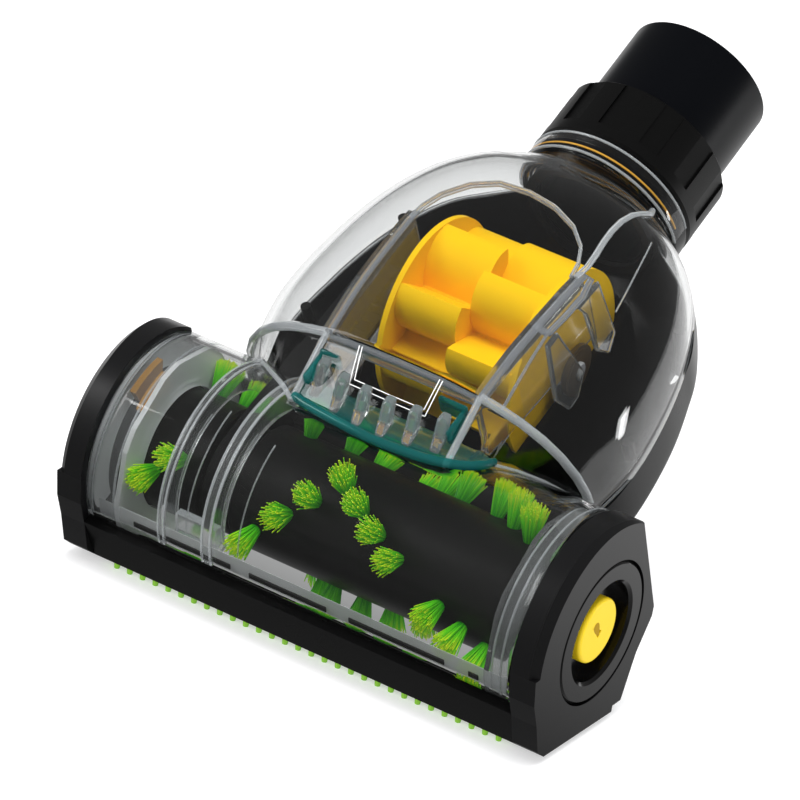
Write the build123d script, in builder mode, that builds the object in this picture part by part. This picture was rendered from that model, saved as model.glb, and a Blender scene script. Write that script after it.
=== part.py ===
# Mini turbo nozzle for a vacuum cleaner, in millimetres.
# X runs along the brush roll, Y to the rear towards the wand, Z up from the sole.
# The origin is below the middle of the whole nozzle, where the rubber pegs touch the floor.
import os
from math import asin, cos, degrees, hypot, pi, radians, sin, sqrt

from build123d import *

os.makedirs("parts", exist_ok=True)

# Overall sizes
overall_width = 150.0
cap_width = 7.7
peg_reach = 2.0
sole_depth = 29.0
neck_angle = 31.0

# Brush chamber, which is a tube round the roll
tunnel_radius = 29.8
shell_wall = 2.0
lip_reach = 32.3
lip_foot = 20.0
sole_rear = 25.0
mouth_front = 15.0
mouth_rear = 18.0
mouth_half_length = 63.0

# End caps
cap_radius = 32.5
cap_bevel = 2.2
cap_wall = 2.4
plug_radius = 20.0
plug_gap = 0.3
well_radius = 14.0
well_depth = 4.6

# Lock knob in the right cap
knob_radius = 9.1
knob_height = 3.4
knob_mark = ((-3.6, 2.2), (0.2, -2.0), (1.6, -0.2))
knob_mark_depth = 1.2
knob_stem_radius = 3.5
knob_lug_reach = 5.8
knob_lug_width = 4.0
knob_lug_thickness = 1.6
knob_clearance = 0.1

# Brush roll
core_radius = 17.0
core_half_length = 60.5
roll_axle_radius = 3.0
belt_x = -35.8
belt_width = 8.0
pulley_width = 10.0
core_gap = 0.2
tuft_root_radius = 1.9
tuft_tip_radius = 2.5
tuft_tip_reach = 26.8
tuft_depth = 3.0
tuft_fit = 0.1
right_twist = 1.75
left_twist = 3.2
bushing_radius = 6.5
bushing_width = 4.0
running_fit = 0.05

# Toothed drive, with a tooth pitch of 3 mm
belt_pitch = 3.0
pulley_teeth = 30
pinion_teeth = 11
belt_back = 0.9
belt_tooth = 0.7
belt_clearance = 0.3

# Turbine, placed on the neck's plane by its distance along it and its rise above it
turbine_along = 66.0
turbine_rise = 6.5
turbine_radius = 26.5
turbine_left = -19.0
turbine_right = 22.3
turbine_disc = 1.6
blade_count = 7
blade_reach = 26.2
blade_edge = 2.4
left_row_tip = 147.0
right_row_tip = 171.5
scoop_radius = 14.6
scoop_angle = 19.0
front_radius = 19.0
front_angle = 5.5
back_radius = 20.6
back_angle = 35.5
shaft_radius = 2.5
bearing_radius = 6.0
bearing_width = 5.0
bearing_flange = 7.2

# Turbine chamber
chamber_half_width = 26.0
chamber_wall = 2.0
high_shoulder = 80.0
high_back = 96.0
low_shoulder = 94.0
low_back = 100.0
chamber_ledge = 28.6
cradle_half_width = 8.0

# Neck
collar_radius = 24.7
collar_length = 19.2
tube_radius = 21.0
neck_tube_end = 172.2
flange_front = 118.5
flange_length = 7.0
swivel_gap = 0.5
spigot_radius = 20.0
spigot_fit = 0.3
ring_reach = 22.4
ring_width = 2.0
ring_inset = 2.6
wand_radius = 17.6
wand_length = 35.0
throat_radius = 16.4
grip_slots = 12

# Rubber strips with pegs
peg_count = 30
peg_pitch = 4.18
peg_radius = 1.0
strip_width = 2.2
strip_height = 1.6

# Joint and opening details
outlet_radius = 15.0
cradle_gap = 0.2
rib_radius = 21.5
rib_wall = 2.6
rib_gap = 0.8
rib_bar_angle = 192.0
rib_bar_radius = 24.0
gusset_wall = 1.6
front_screw_x = 50.9
front_screw_along = 52.0
rear_screw_x = 43.8
rear_screw_along = 90.0
boss_radius = 3.0
boss_height = 10.0
screw_radius = 1.5
screw_seat = 9.0
screw_head_radius = 2.8
screw_head_height = 2.0
inlet_x = 0.5
inlet_half = 23.0
inlet_rear_angle = 62.0
inlet_front_angle = 103.0
inlet_fit = 0.2
grille_slots = 6
grille_pitch = 7.0
grille_slot = 3.6
slot_rear_angle = 72.0
slot_front_angle = 95.0
end_wall = 2.0
end_hole_radius = 20.5
hub_wall = 2.2
plug_floor = 2.0
shield_x = 57.4
shield_wall = 1.5
shield_gap = 0.6
shield_radius = 29.0
peg_tip_radius = 0.75
strip_length = 128.0
front_strip_y = -18.4
rear_strip_y = 21.6
collar_bevel = 0.8
grip_start = 4.0
grip_depth = 0.9
grip_width = 6.4
seal_width = 1.5
spigot_front = 116.5

# Housing body: distance along the neck's plane, half width, height above it, depth below it
housing_stations = (
    (7.0, 20.0, 28.6, 14.0),
    (18.0, 42.0, 32.6, 20.0),
    (31.0, 54.0, 36.8, 26.0),
    (46.0, 56.0, 39.4, 29.0),
    (64.0, 54.5, 39.8, 30.0),
    (82.0, 50.5, 38.6, 29.5),
    (96.0, 44.8, 35.6, 28.5),
    (106.0, 38.0, 31.2, 27.0),
    (113.0, 29.0, 26.2, 25.0),
    (117.0, 23.6, 23.4, 23.4),
    (120.0, 22.6, 22.6, 22.6),
)
chamber_bottom = -46.0
chamber_top = 50.0
chamber_mouth = 5.0
lintel_along = 30.0
lintel_rise = 31.0
lintel_wall = 2.0
lintel_height = 12.0

# Values worked out from the sizes above
half_width = overall_width / 2
body_half = half_width - cap_width
along_y = cos(radians(neck_angle))
along_z = sin(radians(neck_angle))
rear_reach = neck_tube_end * along_y + tube_radius * along_z
roll_y = (cap_radius - rear_reach) / 2
roll_z = peg_reach + sole_depth
chamber_radius = tunnel_radius - shell_wall
pulley_pitch_radius = pulley_teeth * belt_pitch / (2 * pi)
pinion_pitch_radius = pinion_teeth * belt_pitch / (2 * pi)
flange_rear = flange_front + flange_length
collar_front = flange_rear + swivel_gap
rib_left = belt_x - pulley_width / 2 - rib_gap - rib_wall
rib_right = belt_x + pulley_width / 2 + rib_gap + rib_wall
turbine_y = turbine_along * along_y - turbine_rise * along_z
turbine_z = turbine_along * along_z + turbine_rise * along_y


def side_plane(x):
    """Plane across the roll at x: its own x is Y and its own y is Z, both from the roll's axis."""
    return Plane(origin=(x, roll_y, roll_z), x_dir=(0, 1, 0), z_dir=(1, 0, 0))


def turbine_plane(x):
    """The same across the turbine's axis."""
    return Plane(origin=(x, roll_y + turbine_y, roll_z + turbine_z), x_dir=(0, 1, 0), z_dir=(1, 0, 0))


def neck_plane(along):
    """Plane across the neck's axis, which passes through the roll's axis; its own y points up."""
    return Plane(
        origin=(0, roll_y + along * along_y, roll_z + along * along_z),
        x_dir=(-1, 0, 0),
        z_dir=(0, along_y, along_z),
    )


def parting_plane(rise=0.0):
    """Plane of the joint between the two housing shells: its own y runs along the neck."""
    return Plane(
        origin=(0, roll_y - rise * along_z, roll_z + rise * along_y),
        x_dir=(1, 0, 0),
        z_dir=(0, -along_z, along_y),
    )


def polar(radius, angle):
    return (radius * cos(radians(angle)), radius * sin(radians(angle)))


def draw_arch(width, height, power, skirt):
    """Face under a squarish arch that stands on a short straight skirt."""
    points = []
    for step in range(13):
        turn = pi * step / 12
        c, s = cos(turn), max(sin(turn), 0.0)
        across = width * abs(c) ** (2 / power) * (1 if c >= 0 else -1)
        points.append((across, height * s ** (2 / power)))
    sign = 1 if height > 0 else -1
    with BuildLine() as outline:
        Spline(*points, tangents=((0, sign), (0, -sign)))
        Polyline(points[-1], (-width, -sign * skirt), (width, -sign * skirt), points[0])
    make_face(outline.edges())


def housing_body(side, wall):
    """Half of the housing body above or below the parting plane, thinner all round by a wall."""
    with BuildPart() as body:
        for along, width, height, depth in housing_stations:
            rise = height if side == Keep.TOP else -depth
            power = 2.0 if along > 112 else 2.5
            with BuildSketch(neck_plane(along)):
                draw_arch(width - wall, rise - wall * (1 if rise > 0 else -1), power, 3.0)
        loft()
        split(bisect_by=parting_plane(), keep=side)
    return body.part


def roll_cylinder(radius, x_from, x_to):
    with BuildPart() as rod:
        with BuildSketch(side_plane(x_from)):
            Circle(radius)
        extrude(amount=x_to - x_from)
    return rod.part


outer_top = housing_body(Keep.TOP, 0.0)
inner_top = housing_body(Keep.TOP, shell_wall)
outer_bottom = housing_body(Keep.BOTTOM, 0.0)
inner_bottom = housing_body(Keep.BOTTOM, shell_wall)
tunnel_solid = roll_cylinder(tunnel_radius, -body_half, body_half)
chamber_solid = roll_cylinder(chamber_radius, -body_half, body_half)


def neck_ring():
    """Round neck at the back of the housing, with a groove for the swivel ring."""
    groove_front = flange_front + ring_inset - spigot_fit
    with BuildPart() as ring:
        with BuildSketch(neck_plane(flange_front)):
            Circle(collar_radius)
        extrude(amount=flange_length)
        fillet(ring.edges().filter_by(GeomType.CIRCLE), 1.0)
        with BuildSketch(neck_plane(flange_front - 3.0)):
            Circle(spigot_radius + spigot_fit)
        extrude(amount=flange_length + 6.0, mode=Mode.SUBTRACT)
        with BuildSketch(neck_plane(groove_front)):
            Circle(ring_reach + spigot_fit)
        extrude(amount=ring_width + 2 * spigot_fit, mode=Mode.SUBTRACT)
    return ring.part


def chamber_plan(inset, shoulder, back):
    """Plan of the turbine chamber on the parting plane: straight sides and a round back."""
    half = chamber_half_width - inset
    with BuildLine() as outline:
        Polyline((half, shoulder), (half, 5.0), (-half, 5.0), (-half, shoulder))
        ThreePointArc((-half, shoulder), (0, back - inset), (half, shoulder))
    make_face(outline.edges())


def chamber_level(inset, shoulder, back, rise_from, rise_to):
    """Solid over the chamber's plan between two heights above the parting plane."""
    with BuildPart() as level:
        with BuildSketch(parting_plane(rise_from)):
            chamber_plan(inset, shoulder, back)
        extrude(amount=rise_to - rise_from)
    return level.part


def neck_bore_cut():
    """Everything inside the neck that the swivelling tube needs."""
    with BuildPart() as bore:
        with BuildSketch(neck_plane(flange_front - 4.0)):
            Circle(spigot_radius + spigot_fit)
        extrude(amount=flange_length + 8.0)
    return bore.part


def band(x_from, x_to, inner, outer):
    """Ring round the roll's axis."""
    with BuildPart() as ring:
        with BuildSketch(side_plane(x_from)):
            Circle(outer)
            Circle(inner, mode=Mode.SUBTRACT)
        extrude(amount=x_to - x_from)
    return ring.part


def wedge(x_from, x_to, angle_from, angle_to, reach):
    """Solid sector round the roll's axis, between two angles from the rear horizontal."""
    middle = (angle_from + angle_to) / 2
    with BuildPart() as sector:
        with BuildSketch(side_plane(x_from)):
            with BuildLine():
                Line((0, 0), polar(reach, angle_from))
                ThreePointArc(polar(reach, angle_from), polar(reach, middle), polar(reach, angle_to))
                Line(polar(reach, angle_to), (0, 0))
            make_face()
        extrude(amount=x_to - x_from)
    return sector.part


# Turbine chamber walls on both sides of the parting plane, with a ledge where they narrow
lower_room = chamber_level(chamber_wall, low_shoulder, low_back, chamber_bottom, chamber_ledge)
upper_room = chamber_level(chamber_wall, high_shoulder, high_back, chamber_bottom, chamber_top)
with BuildPart() as chamber_walls:
    add(chamber_level(0.0, low_shoulder, low_back, chamber_bottom, chamber_ledge + chamber_wall))
    add(chamber_level(0.0, high_shoulder, high_back, chamber_ledge, chamber_top))
    add(lower_room, mode=Mode.SUBTRACT)
    add(upper_room, mode=Mode.SUBTRACT)
    with BuildSketch(parting_plane(chamber_bottom)):
        with Locations((0, chamber_mouth)):
            Rectangle(2 * (chamber_half_width - chamber_wall), 4 * chamber_mouth)
    extrude(amount=chamber_top - chamber_bottom, mode=Mode.SUBTRACT)
    with BuildSketch(neck_plane(high_shoulder)):
        Circle(outlet_radius)
    extrude(amount=low_back - high_shoulder + 5.0, mode=Mode.SUBTRACT)

# Bar that joins the feet of the two belt ribs
rib_bar = wedge(rib_left, rib_right, rib_bar_angle, 180 + neck_angle, rib_bar_radius)
rib_bar = rib_bar - roll_cylinder(rib_radius, rib_left, rib_right)

# Cross wall at the front of the turbine's window, which hangs from the cover
with BuildPart() as lintel:
    with BuildSketch(parting_plane(lintel_rise)):
        with Locations((0, lintel_along)):
            Rectangle(2 * chamber_half_width - chamber_wall, lintel_wall)
    extrude(amount=lintel_height)

with BuildPart() as bearing_bores:
    with BuildSketch(turbine_plane(-chamber_half_width - 3.0)):
        Circle(bearing_radius)
    extrude(amount=2 * chamber_half_width + 6.0)

# Block that each bearing cradle of the lower shell fills, up to the turbine's axis
with BuildPart() as cradle_blocks:
    with BuildSketch(parting_plane(0.0)):
        with Locations((0, turbine_along)):
            Rectangle(2 * chamber_half_width, 2 * cradle_half_width)
            Rectangle(2 * (chamber_half_width - chamber_wall), 2 * cradle_half_width, mode=Mode.SUBTRACT)
    extrude(amount=turbine_rise)

with BuildPart() as cradle_room:
    with BuildSketch(parting_plane(-0.5)):
        with Locations((0, turbine_along)):
            Rectangle(2 * chamber_half_width + 1.0, 2 * (cradle_half_width + cradle_gap))
    extrude(amount=turbine_rise + 0.5)

# Slot that lets the belt through the wall behind the roll
belt_slot = wedge(
    belt_x - pulley_width / 2 - 0.5,
    belt_x + pulley_width / 2 + 0.5,
    neck_angle - 26.0,
    neck_angle + 38.0,
    tunnel_radius + 14.0,
) - wedge(belt_x - pulley_width, belt_x + pulley_width, -80, 180, chamber_radius - 4.0)

screw_places = (
    (front_screw_x, front_screw_along),
    (-front_screw_x, front_screw_along),
    (rear_screw_x, rear_screw_along),
    (-rear_screw_x, rear_screw_along),
)


def gusset(side, along, reach, drop):
    """Stepped leg on the outer face of a chamber wall, which stiffens it."""
    with BuildPart() as leg:
        with BuildSketch(neck_plane(along)):
            foot = side * (chamber_half_width - 0.5)
            with BuildLine() as outline:
                Polyline(
                    (-foot, 60),
                    (-foot, drop),
                    (-foot - side * reach * 0.45, drop),
                    (-foot - side * reach * 0.6, drop + 6),
                    (-foot - side * reach, drop + 12),
                    (-foot - side * reach, 60),
                    close=True,
                )
            make_face(outline.edges())
        extrude(amount=gusset_wall)
    return leg.part


gussets = gusset(1, 54.0, 11.0, 9.0) + gusset(1, 78.0, 10.0, 14.0)
gussets = gussets + gusset(-1, 50.0, 5.5, 20.0) + gusset(-1, 80.0, 10.0, 14.0)

# Clear cover over the roll and the turbine
with BuildPart() as top_cover:
    add(tunnel_solid)
    split(bisect_by=parting_plane(), keep=Keep.TOP)
    add(outer_top)
    add(inner_top - tunnel_solid, mode=Mode.SUBTRACT)
    add(chamber_walls.part & outer_top)
    add(lintel.part & outer_top)
    add(gussets & outer_top)
    add(chamber_solid, mode=Mode.SUBTRACT)
    add(band(rib_left, rib_left + rib_wall, rib_radius, tunnel_radius))
    add(band(rib_right - rib_wall, rib_right, rib_radius, tunnel_radius))
    add(rib_bar)
    add(neck_ring())
    split(bisect_by=parting_plane(), keep=Keep.TOP)
    add(neck_bore_cut(), mode=Mode.SUBTRACT)
    add(belt_slot, mode=Mode.SUBTRACT)
    add(cradle_room.part, mode=Mode.SUBTRACT)
    add(bearing_bores.part, mode=Mode.SUBTRACT)
    with BuildSketch(parting_plane()):
        with Locations(*screw_places):
            Circle(boss_radius)
    extrude(amount=boss_height)
    with BuildSketch(parting_plane()):
        with Locations(*screw_places):
            Circle(screw_radius)
    extrude(amount=boss_height - 2.0, mode=Mode.SUBTRACT)
    inlet = wedge(inlet_x - inlet_half, inlet_x + inlet_half, inlet_rear_angle, inlet_front_angle, 40.0)
    add((inlet & tunnel_solid) - chamber_solid, mode=Mode.SUBTRACT)
top_cover.part.label = "top_cover"
export_step(top_cover.part, "parts/top_cover.step")


def trough_profile():
    """Outline of the lower shell across the roll."""
    rear_z = -sqrt(tunnel_radius**2 - sole_rear**2)
    lip = polar(lip_reach, 180 + neck_angle)
    rear = polar(tunnel_radius, neck_angle)
    with BuildLine() as outline:
        Polyline(rear, lip, (-lip_foot, -sole_depth), (sole_rear, -sole_depth), (sole_rear, rear_z))
        ThreePointArc((sole_rear, rear_z), (tunnel_radius, 0), rear)
    make_face(outline.edges())


# Black lower shell with the mouth in its sole
with BuildPart() as base_shell:
    with BuildSketch(side_plane(-body_half)):
        trough_profile()
    extrude(amount=2 * body_half)
    chamfer(base_shell.edges().filter_by(Axis.X).sort_by(Axis.Z)[:1], 1.0)
    add(outer_bottom)
    add(inner_bottom - tunnel_solid, mode=Mode.SUBTRACT)
    add(chamber_walls.part & outer_bottom)
    add(roll_cylinder(chamber_radius, -body_half + end_wall, body_half - end_wall), mode=Mode.SUBTRACT)
    add(roll_cylinder(end_hole_radius, -body_half, body_half), mode=Mode.SUBTRACT)
    add(neck_ring())
    split(bisect_by=parting_plane(), keep=Keep.BOTTOM)
    add(neck_bore_cut(), mode=Mode.SUBTRACT)
    add(belt_slot, mode=Mode.SUBTRACT)
    add(cradle_blocks.part)
    add(bearing_bores.part, mode=Mode.SUBTRACT)
    with BuildSketch(Plane.XY):
        with Locations((0, roll_y + (mouth_rear - mouth_front) / 2)):
            RectangleRounded(2 * mouth_half_length, mouth_front + mouth_rear, 4.0)
    extrude(amount=roll_z - 10.0, mode=Mode.SUBTRACT)
    with BuildSketch(Plane.XY.offset(peg_reach)):
        for strip_y in (front_strip_y, rear_strip_y):
            with Locations((0, roll_y + strip_y)):
                Rectangle(strip_length, strip_width)
    extrude(amount=strip_height, mode=Mode.SUBTRACT)
with BuildPart() as screw_posts:
    with BuildSketch(parting_plane()):
        with Locations(*screw_places):
            Circle(boss_radius + 0.9)
    extrude(amount=-40.0)
with BuildPart() as screw_holes:
    with BuildSketch(parting_plane()):
        with Locations(*screw_places):
            Circle(screw_radius + 0.2)
    extrude(amount=-40.0)
    with BuildSketch(parting_plane(-screw_seat)):
        with Locations(*screw_places):
            Circle(screw_head_radius + 0.3)
    extrude(amount=-40.0)
with BuildPart() as base_shell_done:
    add(base_shell.part)
    add(screw_posts.part & outer_bottom)
    add(screw_holes.part, mode=Mode.SUBTRACT)
base_shell_done.part.label = "base_shell"
export_step(base_shell_done.part, "parts/base_shell.step")

with BuildPart() as housing_screws:
    with BuildSketch(parting_plane(-screw_seat)):
        with Locations(*screw_places):
            Circle(screw_head_radius)
    extrude(amount=-screw_head_height)
    with BuildSketch(parting_plane(-screw_seat)):
        with Locations(*screw_places):
            Circle(screw_radius - 0.02)
    extrude(amount=screw_seat + boss_height - 4.0)
housing_screws.part.label = "housing_screws"
export_step(housing_screws.part, "parts/housing_screws.step")


def draw_cap(inset=0.0):
    """Outline of an end cap: a round front, a straight rear facet and a stepped foot."""
    points = (
        (-30.6, -10.4),
        (-27.2, -17.4),
        (-23.8, -26.4),
        (-lip_foot, -sole_depth),
        (14.5, -sole_depth),
        (14.5, -sole_depth + 1.8),
        (18.6, -sole_depth + 2.0),
        (22.3, -14.0),
        (27.4, -5.0),
        (27.4, -2.0),
        (11.8, 28.4),
    )
    front = polar(cap_radius, 184.5)
    with BuildLine() as outline:
        Polyline(front, *points)
        ThreePointArc(points[-1], polar(cap_radius, 125), front)
    face = make_face(outline.edges())
    if inset:
        offset(amount=-inset, kind=Kind.INTERSECTION, mode=Mode.REPLACE)
    return face


def cap_bevel_cut(side):
    """Ring corner that comes off the round edge of a cap."""
    face_x = side * half_width
    inner_x = side * (half_width - cap_bevel)
    with BuildPart() as cone:
        with BuildSketch(side_plane(inner_x)):
            Circle(cap_radius)
        with BuildSketch(side_plane(face_x)):
            Circle(cap_radius - cap_bevel)
        loft()
    block = wedge(min(inner_x, face_x), max(inner_x, face_x), 67.0, 184.5, cap_radius + 3.0)
    return block - cone.part


def end_cap(side):
    """Cap that closes one end of the roll chamber; side is 1 on the right and -1 on the left."""
    face_x = side * half_width
    with BuildPart() as cap:
        with BuildSketch(side_plane(face_x)):
            draw_cap()
        extrude(amount=-side * cap_width)
        add(cap_bevel_cut(side), mode=Mode.SUBTRACT)
        with BuildSketch(side_plane(face_x - side * cap_wall)):
            draw_cap(cap_wall)
        extrude(amount=-side * cap_width, mode=Mode.SUBTRACT)
    return cap.part


# Right cap, with a round hole for the plug that lets the roll out
with BuildPart() as end_cap_right:
    add(end_cap(1))
    with BuildSketch(side_plane(body_half)):
        Circle(plug_radius + plug_gap + cap_wall)
    extrude(amount=cap_width - 1.0)
    with BuildSketch(side_plane(body_half - 1.0)):
        Circle(plug_radius + plug_gap)
    extrude(amount=cap_width + 2.0, mode=Mode.SUBTRACT)
end_cap_right.part.label = "end_cap_right"
export_step(end_cap_right.part, "parts/end_cap_right.step")

# Left cap, with a fixed hub for the roll's bushing
hub_end = core_half_length + 1.0
with BuildPart() as end_cap_left:
    add(end_cap(-1))
    with BuildSketch(side_plane(-half_width + cap_wall / 2)):
        Circle(bushing_radius + hub_wall)
    extrude(amount=half_width - cap_wall / 2 - hub_end)
    with BuildSketch(side_plane(-hub_end)):
        Circle(bushing_radius)
    extrude(amount=-bushing_width - 2.0, mode=Mode.SUBTRACT)
end_cap_left.part.label = "end_cap_left"
export_step(end_cap_left.part, "parts/end_cap_left.step")

# Round plug in the right cap: well for the knob outside, hub for the bushing inside
well_floor = half_width - well_depth
plug_back = well_floor - plug_floor
with BuildPart() as access_plug:
    with BuildSketch(side_plane(plug_back)):
        Circle(plug_radius)
    extrude(amount=half_width - plug_back)
    with BuildSketch(side_plane(well_floor)):
        Circle(well_radius)
    extrude(amount=well_depth, mode=Mode.SUBTRACT)
    with BuildSketch(side_plane(hub_end)):
        Circle(bushing_radius + hub_wall)
    extrude(amount=plug_back - hub_end)
    with BuildSketch(side_plane(hub_end)):
        Circle(bushing_radius)
    extrude(amount=plug_back - hub_end, mode=Mode.SUBTRACT)
    with BuildSketch(side_plane(plug_back)):
        Circle(knob_stem_radius + knob_clearance)
    extrude(amount=plug_floor, mode=Mode.SUBTRACT)
    chamfer(access_plug.edges().filter_by(GeomType.CIRCLE).sort_by(Axis.X)[-2:], 0.8)
access_plug.part.label = "access_plug"
export_step(access_plug.part, "parts/access_plug.step")

# Yellow lock knob: head, stem through the plug and two lugs behind it
with BuildPart() as lock_knob:
    with BuildSketch(side_plane(well_floor + knob_clearance)):
        Circle(knob_radius)
    extrude(amount=knob_height)
    fillet(lock_knob.edges().filter_by(GeomType.CIRCLE).sort_by(Axis.X)[-1], 1.0)
    with BuildSketch(side_plane(well_floor + knob_clearance + knob_height)):
        with BuildLine():
            Polyline(knob_mark, close=True)
        make_face()
    extrude(amount=-knob_mark_depth, mode=Mode.SUBTRACT)
    with BuildSketch(side_plane(plug_back - knob_clearance - knob_lug_thickness)):
        Circle(knob_stem_radius)
    extrude(amount=plug_floor + 2 * knob_clearance + knob_lug_thickness)
    with BuildSketch(side_plane(plug_back - knob_clearance - knob_lug_thickness)):
        Rectangle(2 * knob_lug_reach, knob_lug_width)
    extrude(amount=knob_lug_thickness)
lock_knob.part.label = "lock_knob"
export_step(lock_knob.part, "parts/lock_knob.step")


def roll_bushing(side):
    inner = side * hub_end
    with BuildPart() as bushing:
        with BuildSketch(side_plane(inner)):
            Circle(bushing_radius)
            Circle(roll_axle_radius + running_fit, mode=Mode.SUBTRACT)
        extrude(amount=side * bushing_width)
    return bushing.part


for side, name in ((-1, "roll_bushing_left"), (1, "roll_bushing_right")):
    bushing_part = roll_bushing(side)
    bushing_part.label = name
    export_step(bushing_part, f"parts/{name}.step")


def end_shield(side):
    """Clear faceted ring that keeps hair out of a roll bearing."""
    start = side * shield_x
    with BuildPart() as shield:
        with BuildSketch(side_plane(start)):
            RegularPolygon(shield_radius, 8, rotation=22.5)
            Circle(chamber_radius, mode=Mode.INTERSECT)
            Circle(core_radius + shield_gap, mode=Mode.SUBTRACT)
        extrude(amount=side * shield_wall)
        with BuildSketch(side_plane(start)):
            Circle(core_radius + shield_gap + 1.4)
            Circle(core_radius + shield_gap, mode=Mode.SUBTRACT)
        extrude(amount=side * 3.0)
    return shield.part


for side, name in ((-1, "end_shield_left"), (1, "end_shield_right")):
    shield_part = end_shield(side)
    shield_part.label = name
    export_step(shield_part, f"parts/{name}.step")

# Brush roll: axle, two core lengths and the toothed pulley between them
pulley_from = belt_x - pulley_width / 2
pulley_to = belt_x + pulley_width / 2
axle_half = hub_end + bushing_width - 0.3
with BuildPart() as roll_axle:
    with BuildSketch(side_plane(-axle_half)):
        Circle(roll_axle_radius)
    extrude(amount=2 * axle_half)
    chamfer(roll_axle.edges().filter_by(GeomType.CIRCLE), 0.5)
roll_axle.part.label = "roll_axle"
export_step(roll_axle.part, "parts/roll_axle.step")

right_tufts = (0.0, 7.2, 14.4, 21.6, 36.0, 43.2, 50.4)
left_tufts = (-6.4, -12.8, -21.6, -48.0, -54.2)
row_starts = (125.0, 5.0, 245.0)


def tuft_plane(x, row_start, radius):
    angle = row_start + (right_twist * x if x > 0 else -left_twist * x)
    y, z = polar(1.0, angle)
    return Plane(
        origin=(x, roll_y + radius * y, roll_z + radius * z),
        x_dir=(1, 0, 0),
        z_dir=(0, y, z),
    )


def roll_core(x_from, x_to):
    """Length of the roll, with a blind hole for each tuft."""
    with BuildPart() as core:
        with BuildSketch(side_plane(x_from)):
            Circle(core_radius)
            Circle(roll_axle_radius, mode=Mode.SUBTRACT)
        extrude(amount=x_to - x_from)
        chamfer(core.edges().filter_by(GeomType.CIRCLE).filter_by(lambda e: e.radius > core_radius - 1), 0.8)
        for row_start in row_starts:
            for x in right_tufts + left_tufts:
                if x_from < x < x_to:
                    with Locations(tuft_plane(x, row_start, core_radius - tuft_depth)):
                        Cylinder(
                            tuft_root_radius + tuft_fit,
                            tuft_depth + 2.0,
                            align=(Align.CENTER, Align.CENTER, Align.MIN),
                            mode=Mode.SUBTRACT,
                        )
    return core.part


for name, x_from, x_to in (
    ("roll_core_short", -core_half_length, pulley_from - core_gap),
    ("roll_core_long", pulley_to + core_gap, core_half_length),
):
    core_part = roll_core(x_from, x_to)
    core_part.label = name
    export_step(core_part, f"parts/{name}.step")

for row_start, name in zip(row_starts, ("tuft_row_a", "tuft_row_b", "tuft_row_c")):
    with BuildPart() as tuft_row:
        for x in right_tufts + left_tufts:
            with Locations(tuft_plane(x, row_start, core_radius - tuft_depth)):
                Cylinder(
                    tuft_root_radius,
                    tuft_depth,
                    align=(Align.CENTER, Align.CENTER, Align.MIN),
                )
            with Locations(tuft_plane(x, row_start, core_radius)):
                Cone(
                    tuft_root_radius,
                    tuft_tip_radius,
                    tuft_tip_reach - core_radius,
                    align=(Align.CENTER, Align.CENTER, Align.MIN),
                )
    tuft_row.part.label = name
    export_step(tuft_row.part, f"parts/{name}.step")


def toothed_wheel(plane, teeth, pitch_radius, bore, length):
    """Timing pulley with one shallow trapezoid groove for each belt tooth."""
    tip = pitch_radius - 0.4
    root = tip - belt_tooth - 0.3
    with BuildPart() as wheel:
        with BuildSketch(plane):
            Circle(tip)
            Circle(bore, mode=Mode.SUBTRACT)
        extrude(amount=length)
        with BuildSketch(plane):
            with PolarLocations(0, teeth):
                with BuildLine(mode=Mode.PRIVATE) as notch:
                    Polyline(
                        (root, -0.45),
                        (tip + 0.5, -0.9),
                        (tip + 0.5, 0.9),
                        (root, 0.45),
                        close=True,
                    )
                make_face(notch.edges())
        extrude(amount=length, mode=Mode.SUBTRACT)
    return wheel.part


pulley_part = toothed_wheel(
    side_plane(pulley_from), pulley_teeth, pulley_pitch_radius, roll_axle_radius, pulley_width
)
pulley_part.label = "roll_pulley"
export_step(pulley_part, "parts/roll_pulley.step")
pinion_part = toothed_wheel(
    turbine_plane(pulley_from + 0.5), pinion_teeth, pinion_pitch_radius, shaft_radius, pulley_width - 1.0
)
pinion_part.label = "drive_pinion"
export_step(pinion_part, "parts/drive_pinion.step")

# Toothed belt, which stands a running gap off both wheels
centre_distance = hypot(turbine_y, turbine_z)
tooth_tip_big = pulley_pitch_radius - 0.4 + belt_clearance
tooth_tip_small = pinion_pitch_radius - 0.4 + belt_clearance


def belt_loop(extra):
    """Face inside a loop round both wheels, a given distance outside the belt's tooth tips."""
    big = tooth_tip_big + extra
    small = tooth_tip_small + extra
    lean = degrees(asin((big - small) / centre_distance))
    upper = 90.0 - lean
    far = (centre_distance, 0.0)
    with BuildLine() as loop:
        up_big = polar(big, upper)
        down_big = (up_big[0], -up_big[1])
        up_small = (far[0] + polar(small, upper)[0], polar(small, upper)[1])
        down_small = (up_small[0], -up_small[1])
        ThreePointArc(up_big, (-big, 0), down_big)
        Line(down_big, down_small)
        ThreePointArc(down_small, (far[0] + small, 0), up_small)
        Line(up_small, up_big)
    return make_face(loop.edges())


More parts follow.
